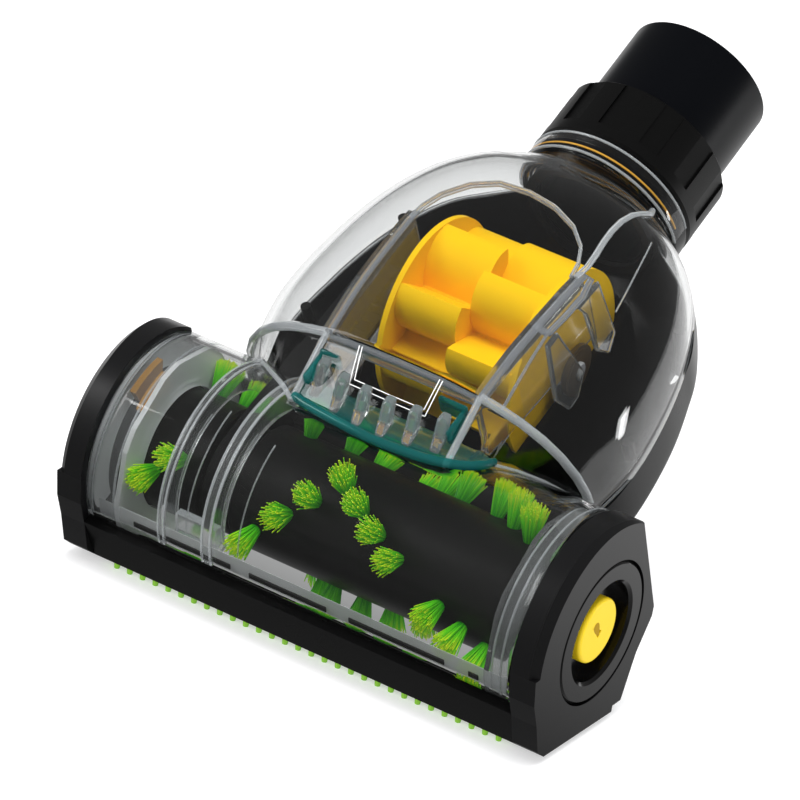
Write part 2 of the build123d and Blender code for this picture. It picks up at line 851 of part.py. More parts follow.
def belt_tooth_places():
    """Position and turn of each tooth along the loop through the tooth tips."""
    big, small = tooth_tip_big, tooth_tip_small
    lean = asin((big - small) / centre_distance)
    straight = sqrt(centre_distance**2 - (big - small) ** 2)
    big_wrap = big * (pi + 2 * lean)
    small_wrap = small * (pi - 2 * lean)
    total = big_wrap + small_wrap + 2 * straight
    count = int(total / belt_pitch)
    places = []
    for number in range(count):
        walk = number * total / count
        if walk < big_wrap:
            turn = pi / 2 - lean + walk / big
            places.append(((big * cos(turn), big * sin(turn)), degrees(turn)))
        elif walk < big_wrap + straight:
            turn = -(pi / 2 - lean)
            step = walk - big_wrap
            start = (big * cos(turn), big * sin(turn))
            ahead = (-sin(turn), cos(turn))
            places.append(((start[0] + step * ahead[0], start[1] + step * ahead[1]), degrees(turn)))
        elif walk < big_wrap + straight + small_wrap:
            turn = -(pi / 2 - lean) + (walk - big_wrap - straight) / small
            spot = (centre_distance + small * cos(turn), small * sin(turn))
            places.append((spot, degrees(turn)))
        else:
            turn = pi / 2 - lean
            step = walk - big_wrap - straight - small_wrap
            start = (centre_distance + small * cos(turn), small * sin(turn))
            ahead = (-sin(turn), cos(turn))
            places.append(((start[0] + step * ahead[0], start[1] + step * ahead[1]), degrees(turn)))
    return places


belt_plane = Plane(
    origin=(belt_x - belt_width / 2, roll_y, roll_z),
    x_dir=(0, turbine_y, turbine_z),
    z_dir=(1, 0, 0),
)
with BuildPart() as toothed_belt:
    with BuildSketch(belt_plane):
        belt_loop(belt_tooth + belt_back)
    extrude(amount=belt_width)
    with BuildSketch(belt_plane):
        belt_loop(belt_tooth)
    extrude(amount=belt_width, mode=Mode.SUBTRACT)
    with BuildSketch(belt_plane):
        for spot, turn in belt_tooth_places():
            with Locations(Location((spot[0], spot[1], 0), (0, 0, turn))):
                Rectangle(belt_tooth + 0.2, 1.1, align=(Align.MIN, Align.CENTER))
    extrude(amount=belt_width)
toothed_belt.part.label = "toothed_belt"
export_step(toothed_belt.part, "parts/toothed_belt.step")

# Turbine rotor: two staggered rows of scooped blades between end discs
def blade_row(first_tip):
    """Section of one row: sharp tips, a hollow scoop in front of each and a rounded back."""
    with BuildSketch() as section:
        with BuildLine() as outline:
            for number in range(blade_count):
                tip = first_tip + number * 360.0 / blade_count
                scoop = polar(scoop_radius, tip + scoop_angle)
                next_tip = polar(blade_reach, tip + 360.0 / blade_count - blade_edge)
                Line(polar(blade_reach, tip - blade_edge), polar(blade_reach, tip))
                ThreePointArc(polar(blade_reach, tip), polar(front_radius, tip + front_angle), scoop)
                ThreePointArc(scoop, polar(back_radius, tip + back_angle), next_tip)
        make_face(outline.edges())
    return section.sketch


turbine_middle = (turbine_left + turbine_right) / 2
with BuildPart() as turbine_rotor:
    for row_from, row_to, first_tip in (
        (turbine_left, turbine_middle, left_row_tip),
        (turbine_middle, turbine_right, right_row_tip),
    ):
        with BuildSketch(turbine_plane(row_from)):
            add(blade_row(first_tip))
        extrude(amount=row_to - row_from)
    for disc_x in (turbine_left, turbine_right - turbine_disc):
        with BuildSketch(turbine_plane(disc_x)):
            Circle(turbine_radius)
        extrude(amount=turbine_disc)
    with BuildSketch(turbine_plane(turbine_left)):
        Circle(shaft_radius)
    extrude(amount=turbine_right - turbine_left, mode=Mode.SUBTRACT)
turbine_rotor.part.label = "turbine_rotor"
export_step(turbine_rotor.part, "parts/turbine_rotor.step")

with BuildPart() as turbine_shaft:
    with BuildSketch(turbine_plane(pulley_from - 0.5)):
        Circle(shaft_radius)
    extrude(amount=chamber_half_width + 3.0 - pulley_from)
    chamfer(turbine_shaft.edges().filter_by(GeomType.CIRCLE), 0.4)
turbine_shaft.part.label = "turbine_shaft"
export_step(turbine_shaft.part, "parts/turbine_shaft.step")


def turbine_bearing(side):
    """Flanged bush that sits in a chamber wall."""
    with BuildPart() as bearing:
        with BuildSketch(turbine_plane(side * (chamber_half_width - chamber_wall))):
            Circle(bearing_radius)
        extrude(amount=side * (bearing_width - 1.6))
        with BuildSketch(turbine_plane(side * chamber_half_width)):
            Circle(bearing_flange)
        extrude(amount=side * 1.2)
        with BuildSketch(turbine_plane(side * (chamber_half_width - 5.0))):
            Circle(shaft_radius + running_fit)
        extrude(amount=side * 14.0, mode=Mode.SUBTRACT)
    return bearing.part


for side, name in ((-1, "turbine_bearing_left"), (1, "turbine_bearing_right")):
    bearing_part = turbine_bearing(side)
    bearing_part.label = name
    export_step(bearing_part, f"parts/{name}.step")

# Teal inlet grille in the opening between the brush chamber and the turbine
grille_plate = wedge(
    inlet_x - inlet_half + inlet_fit,
    inlet_x + inlet_half - inlet_fit,
    inlet_rear_angle + 0.5,
    inlet_front_angle - 0.5,
    tunnel_radius,
)
with BuildPart() as inlet_grille:
    add(grille_plate)
    add(roll_cylinder(chamber_radius, -body_half, body_half), mode=Mode.SUBTRACT)
    for number in range(grille_slots):
        slot_x = inlet_x + (number - (grille_slots - 1) / 2) * grille_pitch
        slot = wedge(
            slot_x - grille_slot / 2,
            slot_x + grille_slot / 2,
            slot_rear_angle,
            slot_front_angle,
            40.0,
        )
        add(slot, mode=Mode.SUBTRACT)
inlet_grille.part.label = "inlet_grille"
export_step(inlet_grille.part, "parts/inlet_grille.step")


def peg_strip(strip_y):
    """Rubber strip pressed into the sole, with a row of pegs."""
    with BuildPart() as strip:
        with BuildSketch(Plane.XY.offset(peg_reach)):
            with Locations((0, roll_y + strip_y)):
                Rectangle(strip_length, strip_width)
        extrude(amount=strip_height)
        with Locations(Plane.XY.offset(peg_reach)):
            with Locations((0, roll_y + strip_y)):
                with GridLocations(peg_pitch, 0, peg_count, 1):
                    Cone(
                        peg_tip_radius,
                        peg_radius,
                        peg_reach,
                        align=(Align.CENTER, Align.CENTER, Align.MAX),
                    )
    return strip.part


for strip_y, name in ((front_strip_y, "front_peg_strip"), (rear_strip_y, "rear_peg_strip")):
    strip_part = peg_strip(strip_y)
    strip_part.label = name
    export_step(strip_part, f"parts/{name}.step")

# Swivelling neck
with BuildPart() as connector_tube:
    with BuildSketch(neck_plane(spigot_front)):
        Circle(spigot_radius)
    extrude(amount=collar_front - spigot_front)
    with BuildSketch(neck_plane(flange_front + ring_inset)):
        Circle(ring_reach)
    extrude(amount=ring_width)
    with BuildSketch(neck_plane(collar_front)):
        Circle(tube_radius)
    extrude(amount=neck_tube_end - collar_front)
    with BuildSketch(neck_plane(spigot_front)):
        Circle(throat_radius)
    extrude(amount=neck_tube_end - spigot_front, mode=Mode.SUBTRACT)
    with BuildSketch(neck_plane(neck_tube_end - wand_length)):
        Circle(wand_radius)
    extrude(amount=wand_length, mode=Mode.SUBTRACT)
connector_tube.part.label = "connector_tube"
export_step(connector_tube.part, "parts/connector_tube.step")

with BuildPart() as grip_collar:
    with BuildSketch(neck_plane(collar_front)):
        Circle(collar_radius)
        Circle(tube_radius, mode=Mode.SUBTRACT)
    extrude(amount=collar_length)
    rims = grip_collar.edges().filter_by(GeomType.CIRCLE)
    chamfer(rims.filter_by(lambda rim: rim.radius > tube_radius + 1), collar_bevel)
    with BuildSketch(neck_plane(collar_front + grip_start)):
        with PolarLocations(collar_radius, grip_slots):
            Rectangle(2 * grip_depth, grip_width)
    extrude(amount=collar_length, mode=Mode.SUBTRACT)
grip_collar.part.label = "grip_collar"
export_step(grip_collar.part, "parts/grip_collar.step")

with BuildPart() as neck_seal:
    with BuildSketch(neck_plane(spigot_front - seal_width)):
        Circle(spigot_radius)
        Circle(throat_radius + 0.6, mode=Mode.SUBTRACT)
    extrude(amount=seal_width)
neck_seal.part.label = "neck_seal"
export_step(neck_seal.part, "parts/neck_seal.step")

print("roll centre y, z", round(roll_y, 3), roll_z)
print("turbine centre y, z", round(roll_y + turbine_y, 3), round(roll_z + turbine_z, 3))
print("neck end", tuple(round(v, 3) for v in neck_plane(neck_tube_end).origin))
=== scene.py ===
# %% [markdown]
# Mini turbo nozzle of a vacuum cleaner: a clear cover over a brush roll and a yellow air
# turbine, on a black lower shell, with a swivelling neck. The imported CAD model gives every
# piece its place and size, so the scene loads it instead of modelling the pieces again.

# %% Load the frame
import math
import random
import bmesh
import bpy
from mathutils import Matrix, Vector


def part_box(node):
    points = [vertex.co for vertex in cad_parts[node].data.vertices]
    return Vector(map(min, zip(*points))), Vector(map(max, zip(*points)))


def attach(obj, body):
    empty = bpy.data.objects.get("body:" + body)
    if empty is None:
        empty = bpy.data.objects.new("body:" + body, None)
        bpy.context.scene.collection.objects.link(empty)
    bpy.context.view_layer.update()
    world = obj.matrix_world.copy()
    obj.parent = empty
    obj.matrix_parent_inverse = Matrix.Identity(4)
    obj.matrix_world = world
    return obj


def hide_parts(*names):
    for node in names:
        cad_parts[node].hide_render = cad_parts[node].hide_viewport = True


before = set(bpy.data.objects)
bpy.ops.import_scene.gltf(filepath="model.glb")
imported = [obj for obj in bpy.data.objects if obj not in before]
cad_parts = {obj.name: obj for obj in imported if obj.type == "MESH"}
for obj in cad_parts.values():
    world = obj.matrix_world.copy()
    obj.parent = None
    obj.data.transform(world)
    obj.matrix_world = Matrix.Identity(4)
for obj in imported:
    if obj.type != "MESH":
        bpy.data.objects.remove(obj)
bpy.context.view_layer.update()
scene = bpy.context.scene

# %% [markdown]
# The photograph was taken from the front right and a little above, with a long lens, and the
# nozzle stands turned in the picture. A long focal length far away keeps the parallel edges of
# the brush chamber nearly parallel. Place and turn were fitted to the nozzle's edges.

# %% Camera
camera_place = (0.66795, -1.29820, 0.74457)
camera_turn = (63.97507, -9.02948, 32.60306)
camera_data = bpy.data.cameras.new("camera")
camera_data.lens = 270.0
camera_data.sensor_width = 36.0
camera_data.clip_start = 0.1
camera = bpy.data.objects.new("camera", camera_data)
camera.location = camera_place
camera.rotation_euler = [math.radians(angle) for angle in camera_turn]
scene.collection.objects.link(camera)
scene.camera = camera
print("camera at", camera_place, "lens", camera_data.lens)

# %% [markdown]
# The studio and the materials are both built from nodes. One helper adds a node with its
# settings and links. Colours are written as hex codes, as a picture editor shows them, and
# another helper turns them into the linear values that the renderer works with.

# %% Node and colour helpers
white = (1.0, 1.0, 1.0, 1.0)


def add_node(tree, kind, settings=None, values=None, links=None):
    """Adds a node, sets its properties and socket values, and links other sockets into it."""
    node = tree.nodes.new(kind)
    for key, value in (settings or {}).items():
        setattr(node, key, value)
    for key, value in (values or {}).items():
        node.inputs[key].default_value = value
    for key, socket in (links or {}).items():
        tree.links.new(socket, node.inputs[key])
    return node


def linear(code):
    """Turns an sRGB hex colour into the linear values that Blender's sockets take."""
    out = []
    for i in (1, 3, 5):
        v = int(code[i:i + 2], 16) / 255
        out.append(v / 12.92 if v <= 0.04045 else ((v + 0.055) / 1.055) ** 2.4)
    return (*out, 1.0)


print("mid grey is", linear("#808080"))

# %% [markdown]
# A white surround lights the nozzle from everywhere and makes the background white. Mirrored in
# glossy black plastic it would turn the black grey, so glossy rays meet a far darker surround.

# %% Surround
scene.view_settings.view_transform = "Standard"
scene.view_settings.look = "None"
mirrored_level = 0.16
world = bpy.data.worlds.new("studio")
scene.world = world
world.use_nodes = True
surround = world.node_tree.nodes["Background"]
surround.inputs["Color"].default_value = white
rays = add_node(world.node_tree, "ShaderNodeLightPath")
level = add_node(world.node_tree, "ShaderNodeMapRange", values={
    "To Min": 1.0, "To Max": mirrored_level}, links={"Value": rays.outputs["Is Glossy Ray"]})
world.node_tree.links.new(level.outputs["Result"], surround.inputs["Strength"])
print("surround mirrored at", mirrored_level)

# %% [markdown]
# Three softboxes stand for the photographer's lamps. The large one above gives the turbine its
# light and the soft shadow on the ground. It shows neither in glossy surfaces nor behind clear
# walls, where its image would lie over the turbine as a pale haze. The two small ones at the
# sides draw soft highlights on the black plastic.

# %% Softboxes


def softbox(name, place, target, width, height, power, mirrored=True):
    """Rectangular lamp at a place, turned to a target; sizes in metres, power in watts."""
    data = bpy.data.lights.new(name, "AREA")
    data.shape = "RECTANGLE"
    data.size = width
    data.size_y = height
    data.energy = power
    lamp = bpy.data.objects.new(name, data)
    lamp.location = place
    lamp.rotation_euler = (Vector(target) - Vector(place)).to_track_quat("-Z", "Y").to_euler()
    lamp.visible_glossy = mirrored
    lamp.visible_transmission = mirrored
    scene.collection.objects.link(lamp)


softbox("softbox_top", (0.1, -0.2, 0.9), (0, 0, 0.04), 0.7, 0.5, 8.5, mirrored=False)
softbox("softbox_right", (0.9, 0.55, 0.1), (0, 0, 0.05), 0.1, 0.2, 0.8)
softbox("softbox_left", (-0.8, -0.6, 0.6), (0, 0, 0.05), 0.4, 0.6, 3.0)

# %% [markdown]
# Two recipes serve nearly every piece. Moulded plastic has one colour, a gloss that wanders a
# little over the piece, and a very fine grain from the mould. Clear plastic refracts as acrylic
# does. A share of milk makes its thick edges show, and shadow rays pass straight through, so
# that what is inside gets light.

# %% Material recipes
cloud_mm = 25.0
grain_depth = 0.0002
glossiest, dullest = 0.9, 1.12
acrylic_ior, polypropylene_ior = 1.49, 1.5


def start_material(name):
    material = bpy.data.materials.new(name)
    material.use_nodes = True
    material.node_tree.nodes.clear()
    return material, material.node_tree


def finish_material(tree, shader_socket):
    add_node(tree, "ShaderNodeOutputMaterial", links={"Surface": shader_socket})


def moulded_plastic(name, colour, roughness, grain_mm, bump, specular=0.5):
    """Injection-moulded plastic: one colour with a very fine grain from the mould's surface."""
    material, tree = start_material(name)
    place = add_node(tree, "ShaderNodeTexCoord")
    grain = add_node(tree, "ShaderNodeTexNoise", values={
        "Scale": 1000.0 / grain_mm, "Detail": 3.0, "Roughness": 0.6},
        links={"Vector": place.outputs["Object"]})
    cloud = add_node(tree, "ShaderNodeTexNoise", values={
        "Scale": 1000.0 / cloud_mm, "Detail": 2.0}, links={"Vector": place.outputs["Object"]})
    gloss = add_node(tree, "ShaderNodeMapRange", values={
        "To Min": roughness * glossiest, "To Max": roughness * dullest},
        links={"Value": cloud.outputs["Fac"]})
    relief = add_node(tree, "ShaderNodeBump", values={
        "Strength": bump, "Distance": grain_depth}, links={"Height": grain.outputs["Fac"]})
    shader = add_node(tree, "ShaderNodeBsdfPrincipled", values={
        "Base Color": linear(colour), "Specular IOR Level": specular}, links={
        "Roughness": gloss.outputs["Result"], "Normal": relief.outputs["Normal"]})
    finish_material(tree, shader.outputs["BSDF"])
    return material


def clear_plastic(name, colour, roughness=0.02, ior=acrylic_ior, shadow=0.93, milk_and_reflection=0.0,
        milk_and_reflection_colour="#E8ECEE"):
    """Clear moulded plastic, with a share of milk; shadow says how much light passes a wall."""
    material, tree = start_material(name)
    glass = add_node(tree, "ShaderNodeBsdfPrincipled", values={
        "Base Color": linear(colour), "Roughness": roughness, "IOR": ior,
        "Transmission Weight": 1.0})
    milk_and_reflection_layer = add_node(tree, "ShaderNodeBsdfPrincipled", values={
        "Base Color": linear(milk_and_reflection_colour), "Roughness": 0.5})
    body = add_node(tree, "ShaderNodeMixShader", values={0: milk_and_reflection}, links={
        1: glass.outputs["BSDF"], 2: milk_and_reflection_layer.outputs["BSDF"]})
    through = add_node(tree, "ShaderNodeBsdfTransparent", values={
        "Color": (shadow, shadow, shadow, 1.0)})
    rays = add_node(tree, "ShaderNodeLightPath")
    mix = add_node(tree, "ShaderNodeMixShader", links={
        0: rays.outputs["Is Shadow Ray"], 1: body.outputs["Shader"], 2: through.outputs["BSDF"]})
    finish_material(tree, mix.outputs["Shader"])
    return material


print("gloss wanders over", cloud_mm, "mm")

# %% [markdown]
# The ground in the photograph is almost white, with only a faint shadow under the nozzle, so
# the floor glows a little by itself. Glossy rays meet another glow in its place, dark in front
# and bright behind: the black cap stays black, and the dome keeps its bright left edge.

# %% Floor
floor_half = 4.0
front_y, rear_y = -0.1, 0.09
front_glow, rear_glow = 0.12, 1.0
floor_paint, tree = start_material("white_floor_sweep")
shader = add_node(tree, "ShaderNodeBsdfPrincipled", values={
    "Base Color": linear("#C8C8C9"), "Roughness": 0.3, "Specular IOR Level": 0.4,
    "Emission Color": white, "Emission Strength": 0.5})
place = add_node(tree, "ShaderNodeTexCoord")
depth = add_node(tree, "ShaderNodeSeparateXYZ", links={0: place.outputs["Object"]})
glow = add_node(tree, "ShaderNodeMapRange", values={
    "From Min": front_y, "From Max": rear_y, "To Min": front_glow, "To Max": rear_glow},
    links={"Value": depth.outputs["Y"]})
mirror_glow = add_node(tree, "ShaderNodeEmission", values={"Color": white},
    links={"Strength": glow.outputs["Result"]})
rays = add_node(tree, "ShaderNodeLightPath")
mix = add_node(tree, "ShaderNodeMixShader", links={
    0: rays.outputs["Is Glossy Ray"], 1: shader.outputs["BSDF"],
    2: mirror_glow.outputs["Emission"]})
finish_material(tree, mix.outputs["Shader"])
floor_mesh = bpy.data.meshes.new("studio_floor")
bm = bmesh.new()
bmesh.ops.create_grid(bm, x_segments=1, y_segments=1, size=floor_half)
bm.to_mesh(floor_mesh)
bm.free()
floor_mesh.materials.append(floor_paint)
floor = bpy.data.objects.new("studio_floor", floor_mesh)
scene.collection.objects.link(floor)
print("floor", floor.name)

# %% [markdown]
# Shell, caps, collar, roll and tube are ABS moulded in black. In the photograph they differ only
# in how they take the light, so each gets its own roughness and specular: a polished mould gives
# sharp streaks, an eroded one a dark grey bloom. The belt is chloroprene rubber and quite matt.

# %% Black finishes
# ABS from a polished mould: nearly pure black, with a narrow soft streak along the edges.
black_shell = moulded_plastic("black_abs_shell", "#060606", 0.26, 0.35, 0.03, specular=0.1)
# ABS from a finely eroded mould: the flat face takes up an even dark grey.
black_cap = moulded_plastic("black_abs_cap", "#0C0C0D", 0.3, 0.3, 0.05, specular=0.5)
# ABS with a coarser grain for the grip: matt, so that its slots are only darker lines.
black_collar = moulded_plastic("black_collar_grain", "#070707", 0.42, 0.3, 0.12, specular=0.22)
# ABS of the roll, as it comes off the mould: a broad faint gleam along the barrel.
black_roll = moulded_plastic("black_roll_plastic", "#0C0C0B", 0.4, 0.6, 0.0, specular=0.2)
# ABS of the tube: black with a trace of blue against the collar.
black_tube = moulded_plastic("blue_black_tube", "#030407", 0.34, 0.35, 0.06, specular=0.2)
# ABS from a mirror-polished mould, for the plug: crisp dark reflections in its well.
black_gloss = moulded_plastic("black_gloss", "#070707", 0.14, 0.3, 0.0, specular=0.5)
# Chloroprene rubber of the belt and the seal: flat dark grey without a highlight.
belt_rubber = moulded_plastic("belt_rubber", "#101010", 0.7, 0.25, 0.2, specular=0.2)
print("black finishes 7")

# %% [markdown]
# The yellow turbine is dull inside, the knob outside has more gloss, and both are ABS. Bushings
# are acetal and the peg strips soft rubber. Steel and bronze show only as small dots through
# the clear walls, so the recipe for plastic serves them too.

# %% Coloured and metal finishes
# ABS of the turbine: warm yellow and nearly matt, so that the white surround doesn't pale it.
turbine_yellow = moulded_plastic("turbine_yellow_abs", "#FFCD14", 0.5, 0.3, 0.03, specular=0.06)
# ABS of the knob: a greener yellow with a soft gloss.
lemon_yellow = moulded_plastic("lemon_yellow_abs", "#F0CF20", 0.3, 0.3, 0.03, specular=0.3)
# The knob's ABS painted darker: painted shade in the bottom of its mark, where hardly any light
# gets in.
knob_painted_shade = moulded_plastic("knob_painted_shade", "#A88400", 0.4, 0.3, 0.0, specular=0.1)
# Acetal of the bushings: deep yellow with a waxy, broad highlight.
bushing_yellow = moulded_plastic("bushing_yellow_acetal", "#D9A400", 0.45, 0.3, 0.03)
# Acetal seen through the thick end ring: darker, with hardly a highlight.
amber_pad = moulded_plastic("amber_pad", "#B07C14", 0.35, 0.3, 0.02, specular=0.2)
# The same yellow caught as a gleam in the neck's flange: bright and smooth.
amber_gleam = moulded_plastic("amber_gleam", "#D8A23C", 0.2, 0.3, 0.02)
# Thermoplastic rubber of the peg strips: leaf green and soft to the eye.
green_rubber = moulded_plastic("green_soft_rubber", "#8CCB35", 0.55, 0.3, 0.1)
# Ground steel of axle and shaft: a pale grey dot.
steel = moulded_plastic("bright_steel", "#B0B2B4", 0.25, 0.2, 0.05)
# Sintered bronze of the turbine's bearings: dark brown, with the grain of pressed powder.
bronze = moulded_plastic("sintered_bronze", "#4A3A20", 0.45, 0.2, 0.1)
# Acrylic where a raised line catches the lamp all along: a painted highlight, drawn as plain
# white.
highlight_white_line = moulded_plastic("highlight_white_line", "#F4F4F4", 0.4, 0.3, 0.02)
print("coloured finishes 10")

# %% [markdown]
# The cover is one clear acrylic moulding. Its thin walls hardly show, and its edges, ribs and
# bars do, because they are thick and gather grey from all round. In a render the thin walls and
# the thick edges need two finishes: the edges get a share of milk, the walls none.

# %% Clear finishes
# Acrylic of the cover's walls: quite clear, seen only by its highlights and its rim.
cover_clear = clear_plastic("cover_clear_plastic", "#FDFEFE")
# Acrylic of the walls inside: a trace of haze sets them off from the dark behind.
inner_clear = clear_plastic("inner_clear_plastic", "#F8FAF9", 0.04, milk_and_reflection=0.04)
# Thick acrylic edges: pale grey lines.
edge_clear = clear_plastic(
    "edge_clear_plastic", "#FFFFFF", 0.1, milk_and_reflection=0.22, milk_and_reflection_colour="#C9CFD2")
# The flat bars of the window look mid grey, because their tops mirror the darker studio. The
# grey milk paints that reflection.
bar_clear = clear_plastic(
    "bar_clear_plastic", "#F4F6F6", 0.15, milk_and_reflection=0.4, milk_and_reflection_colour="#8E9297")
# The comb's fingers: clear, with pale sides.
finger_clear = clear_plastic(
    "finger_clear_plastic", "#F4F7F6", 0.05, milk_and_reflection=0.1, milk_and_reflection_colour="#C2C8CA")
# Frosted acrylic of the end rings: milky white, with only a blur of what lies behind.
frosted_clear = clear_plastic(
    "frosted_clear_plastic", "#F8FAFA", 0.3, milk_and_reflection=0.5, milk_and_reflection_colour="#E6E9EA")
# Dyed polypropylene of the inlet tray: milky teal, deep where it is thick.
teal_clear = clear_plastic("teal_clear_plastic", "#2FA39C", 0.05, polypropylene_ior, 0.75,
    milk_and_reflection=0.2, milk_and_reflection_colour="#0A8280")
print("clear finishes 7")

# %% [markdown]
# The bristles are green nylon. A tuft looks dark at the root, where little light gets in, and
# yellow green at the tips. The colour follows the distance from the roll's axis, with a small
# shift for each bristle, so that neighbours don't change colour at one height.

# %% Bristle nylon
roll_y = -62.96
roll_z = 31.0
root_reach, tip_reach = 0.0165, 0.0275
bristle_shift = 0.0022
bristle_green, tree = start_material("bristle_green_nylon")
place = add_node(tree, "ShaderNodeTexCoord")
offset = add_node(tree, "ShaderNodeVectorMath", settings={"operation": "SUBTRACT"}, values={
    1: (0.0, roll_y / 1000.0, roll_z / 1000.0)}, links={0: place.outputs["Object"]})
flat = add_node(tree, "ShaderNodeVectorMath", settings={"operation": "MULTIPLY"},
    values={1: (0.0, 1.0, 1.0)}, links={0: offset.outputs["Vector"]})
reach = add_node(tree, "ShaderNodeVectorMath", settings={"operation": "LENGTH"},
    links={0: flat.outputs["Vector"]})
island = add_node(tree, "ShaderNodeNewGeometry")
shift = add_node(tree, "ShaderNodeMapRange", values={
    "To Min": -bristle_shift, "To Max": bristle_shift},
    links={"Value": island.outputs["Random Per Island"]})
shifted = add_node(tree, "ShaderNodeMath", links={
    0: reach.outputs["Value"], 1: shift.outputs["Result"]})
height = add_node(tree, "ShaderNodeMapRange", values={
    "From Min": root_reach, "From Max": tip_reach}, links={"Value": shifted.outputs["Value"]})
ramp = add_node(tree, "ShaderNodeValToRGB", links={"Fac": height.outputs["Result"]})
ramp.color_ramp.elements[0].color = linear("#1E8C10")
ramp.color_ramp.elements[1].color = linear("#CFE022")
middle = ramp.color_ramp.elements.new(0.55)
middle.color = linear("#63D01A")
# The faint glow stands for the light that thin nylon passes on.
shader = add_node(tree, "ShaderNodeBsdfPrincipled", values={
    "Roughness": 0.4, "Emission Strength": 0.12}, links={
    "Base Color": ramp.outputs["Color"], "Emission Color": ramp.outputs["Color"]})
finish_material(tree, shader.outputs["BSDF"])
print("bristle colours", len(ramp.color_ramp.elements))

# %% [markdown]
# Each node of the CAD model now gets the finish of its real piece. Their meshes are loose
# triangles that already point the right way, so nothing else is done to them.

# %% Finishes of the CAD pieces
finish_nodes = (
    (black_shell, ("base_shell",)), (cover_clear, ("top_cover",)),
    (black_cap, ("end_cap_left", "end_cap_right")), (black_gloss, ("access_plug",)),
    (lemon_yellow, ("lock_knob",)), (frosted_clear, ("end_shield_left",)),
    (inner_clear, ("end_shield_right",)),
    (black_roll, ("roll_core_long", "roll_core_short", "roll_pulley", "drive_pinion",
        "housing_screws")),
    (steel, ("roll_axle", "turbine_shaft")),
    (bushing_yellow, ("roll_bushing_left", "roll_bushing_right")),
    (bristle_green, ("tuft_row_a", "tuft_row_b", "tuft_row_c")),
    (turbine_yellow, ("turbine_rotor",)),
    (bronze, ("turbine_bearing_left", "turbine_bearing_right")),
    (belt_rubber, ("toothed_belt", "neck_seal")), (teal_clear, ("inlet_grille",)),
    (green_rubber, ("front_peg_strip", "rear_peg_strip")),
    (black_collar, ("grip_collar",)), (black_tube, ("connector_tube",)),
)
for finish, names in finish_nodes:
    for name in names:
        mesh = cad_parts[name].data
        mesh.materials.clear()
        mesh.materials.append(finish)
print("finished nodes", sum(len(names) for _, names in finish_nodes))

# %% [markdown]
# Two sets of coordinates describe the nozzle: round the roll's axis, and along the plane of the
# neck, which rises 31 degrees to the rear. Sizes are in millimetres, and each function gives
# back a point in metres. The right side is +X, and the brush chamber lies in front.

# %% Coordinates
tilt = math.radians(31.0)


def on_neck(x, along, rise):
    """Point from the distance along the neck's plane and the rise above it."""
    return Vector((
        x, roll_y + along * math.cos(tilt) - rise * math.sin(tilt),
        roll_z + along * math.sin(tilt) + rise * math.cos(tilt))) / 1000.0


def on_roll(x, radius, angle):
    """Point round the roll's axis; the angle starts at the rear and rises over the top."""
    turn = math.radians(angle)
    return Vector((
        x, roll_y + radius * math.cos(turn), roll_z + radius * math.sin(turn))) / 1000.0


def roll_arc(x, radius, angle_from, angle_to):
    """Points on an arc round the roll's axis, three degrees apart."""
    return [on_roll(x, radius, angle) for angle in range(angle_from, angle_to, 3)]


print("roll's axis", tuple(on_roll(0.0, 0.0, 0.0)))

# %% [markdown]
# A sheet of plastic starts as a flat grid whose vertices are moved to where a function says, and
# the Solidify modifier gives it its wall. An edge that catches the light is a round bead along
# a line, made of rings that bridge_loops joins. A small block is a cube with moved corners.

# %% Piece helpers


def placed_grid(columns, rows, place):
    """Grid whose vertices are placed by a function of two numbers from 0 to 1."""
    bm = bmesh.new()
    bmesh.ops.create_grid(bm, x_segments=columns, y_segments=rows, size=0.5)
    for vert in bm.verts:
        vert.co = place(vert.co.x + 0.5, vert.co.y + 0.5)
    return bm


def add_piece(
        name, bm, finish, body="housing", wall=0.0, bevel=0.0, sharp=35.0):
    """Object from a bmesh, by default a piece of the cover; wall is thickened inwards, in mm."""
    mesh = bpy.data.meshes.new(name)
    bm.to_mesh(mesh)
    bm.free()
    mesh.materials.append(finish)
    mesh.shade_smooth()
    mesh.set_sharp_from_angle(angle=math.radians(sharp))
    piece = bpy.data.objects.new(name, mesh)
    scene.collection.objects.link(piece)
    if wall:
        skin = piece.modifiers.new("wall", "SOLIDIFY")
        skin.thickness = wall / 1000.0
        skin.offset = -1.0
        skin.use_even_offset = True
    if bevel:
        edge = piece.modifiers.new("edge", "BEVEL")
        edge.width = bevel / 1000.0
        edge.segments = 2
    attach(piece, body)
    return piece


def add_bead(bm, points, radius, sides=10):
    """Round bead along a line of points: one ring at each point, joined ring to ring."""
    last = None
    for number, point in enumerate(points):
        ahead = points[min(number + 1, len(points) - 1)] - points[max(number - 1, 0)]
        turn = ahead.to_track_quat("Z", "Y").to_matrix().to_4x4()
        ring = bmesh.ops.create_circle(
            bm, segments=sides, radius=radius / 1000.0, matrix=Matrix.Translation(point) @ turn,
            cap_ends=number in (0, len(points) - 1))
        edges = list({edge for vert in ring["verts"] for edge in vert.link_edges})
        if last:
            bmesh.ops.bridge_loops(bm, edges=last + edges)
        last = edges
    bmesh.ops.recalc_face_normals(bm, faces=bm.faces)


def add_plate(bm, points):
    """Flat plate of one face, with its corners at the points."""
    ring = bmesh.ops.create_circle(bm, segments=len(points), radius=1.0, cap_ends=True)["verts"]
    order = sorted(ring, key=lambda vert: math.atan2(vert.co.y, vert.co.x) % (2 * math.pi))
    for vert, point in zip(order, points):
        vert.co = point
    return ring


def add_block(bm, corners):
    """Six-sided block: four corners of the bottom and then four of the top, in the same order."""
    cube = bmesh.ops.create_cube(bm, size=1.0)["verts"]
    order = sorted(cube, key=lambda vert: (vert.co.z, math.atan2(vert.co.y, vert.co.x)))
    for vert, corner in zip(order, corners):
        vert.co = corner


print("piece helpers ready")

# %% [markdown]
# The housing's section is a soft-shouldered arch. Its half width and height are known at a few
# places along the neck's plane. Straight sheets between them would show steps, so a smooth curve
# runs through the sizes, and one grid follows it from the thick front rim to the round neck.

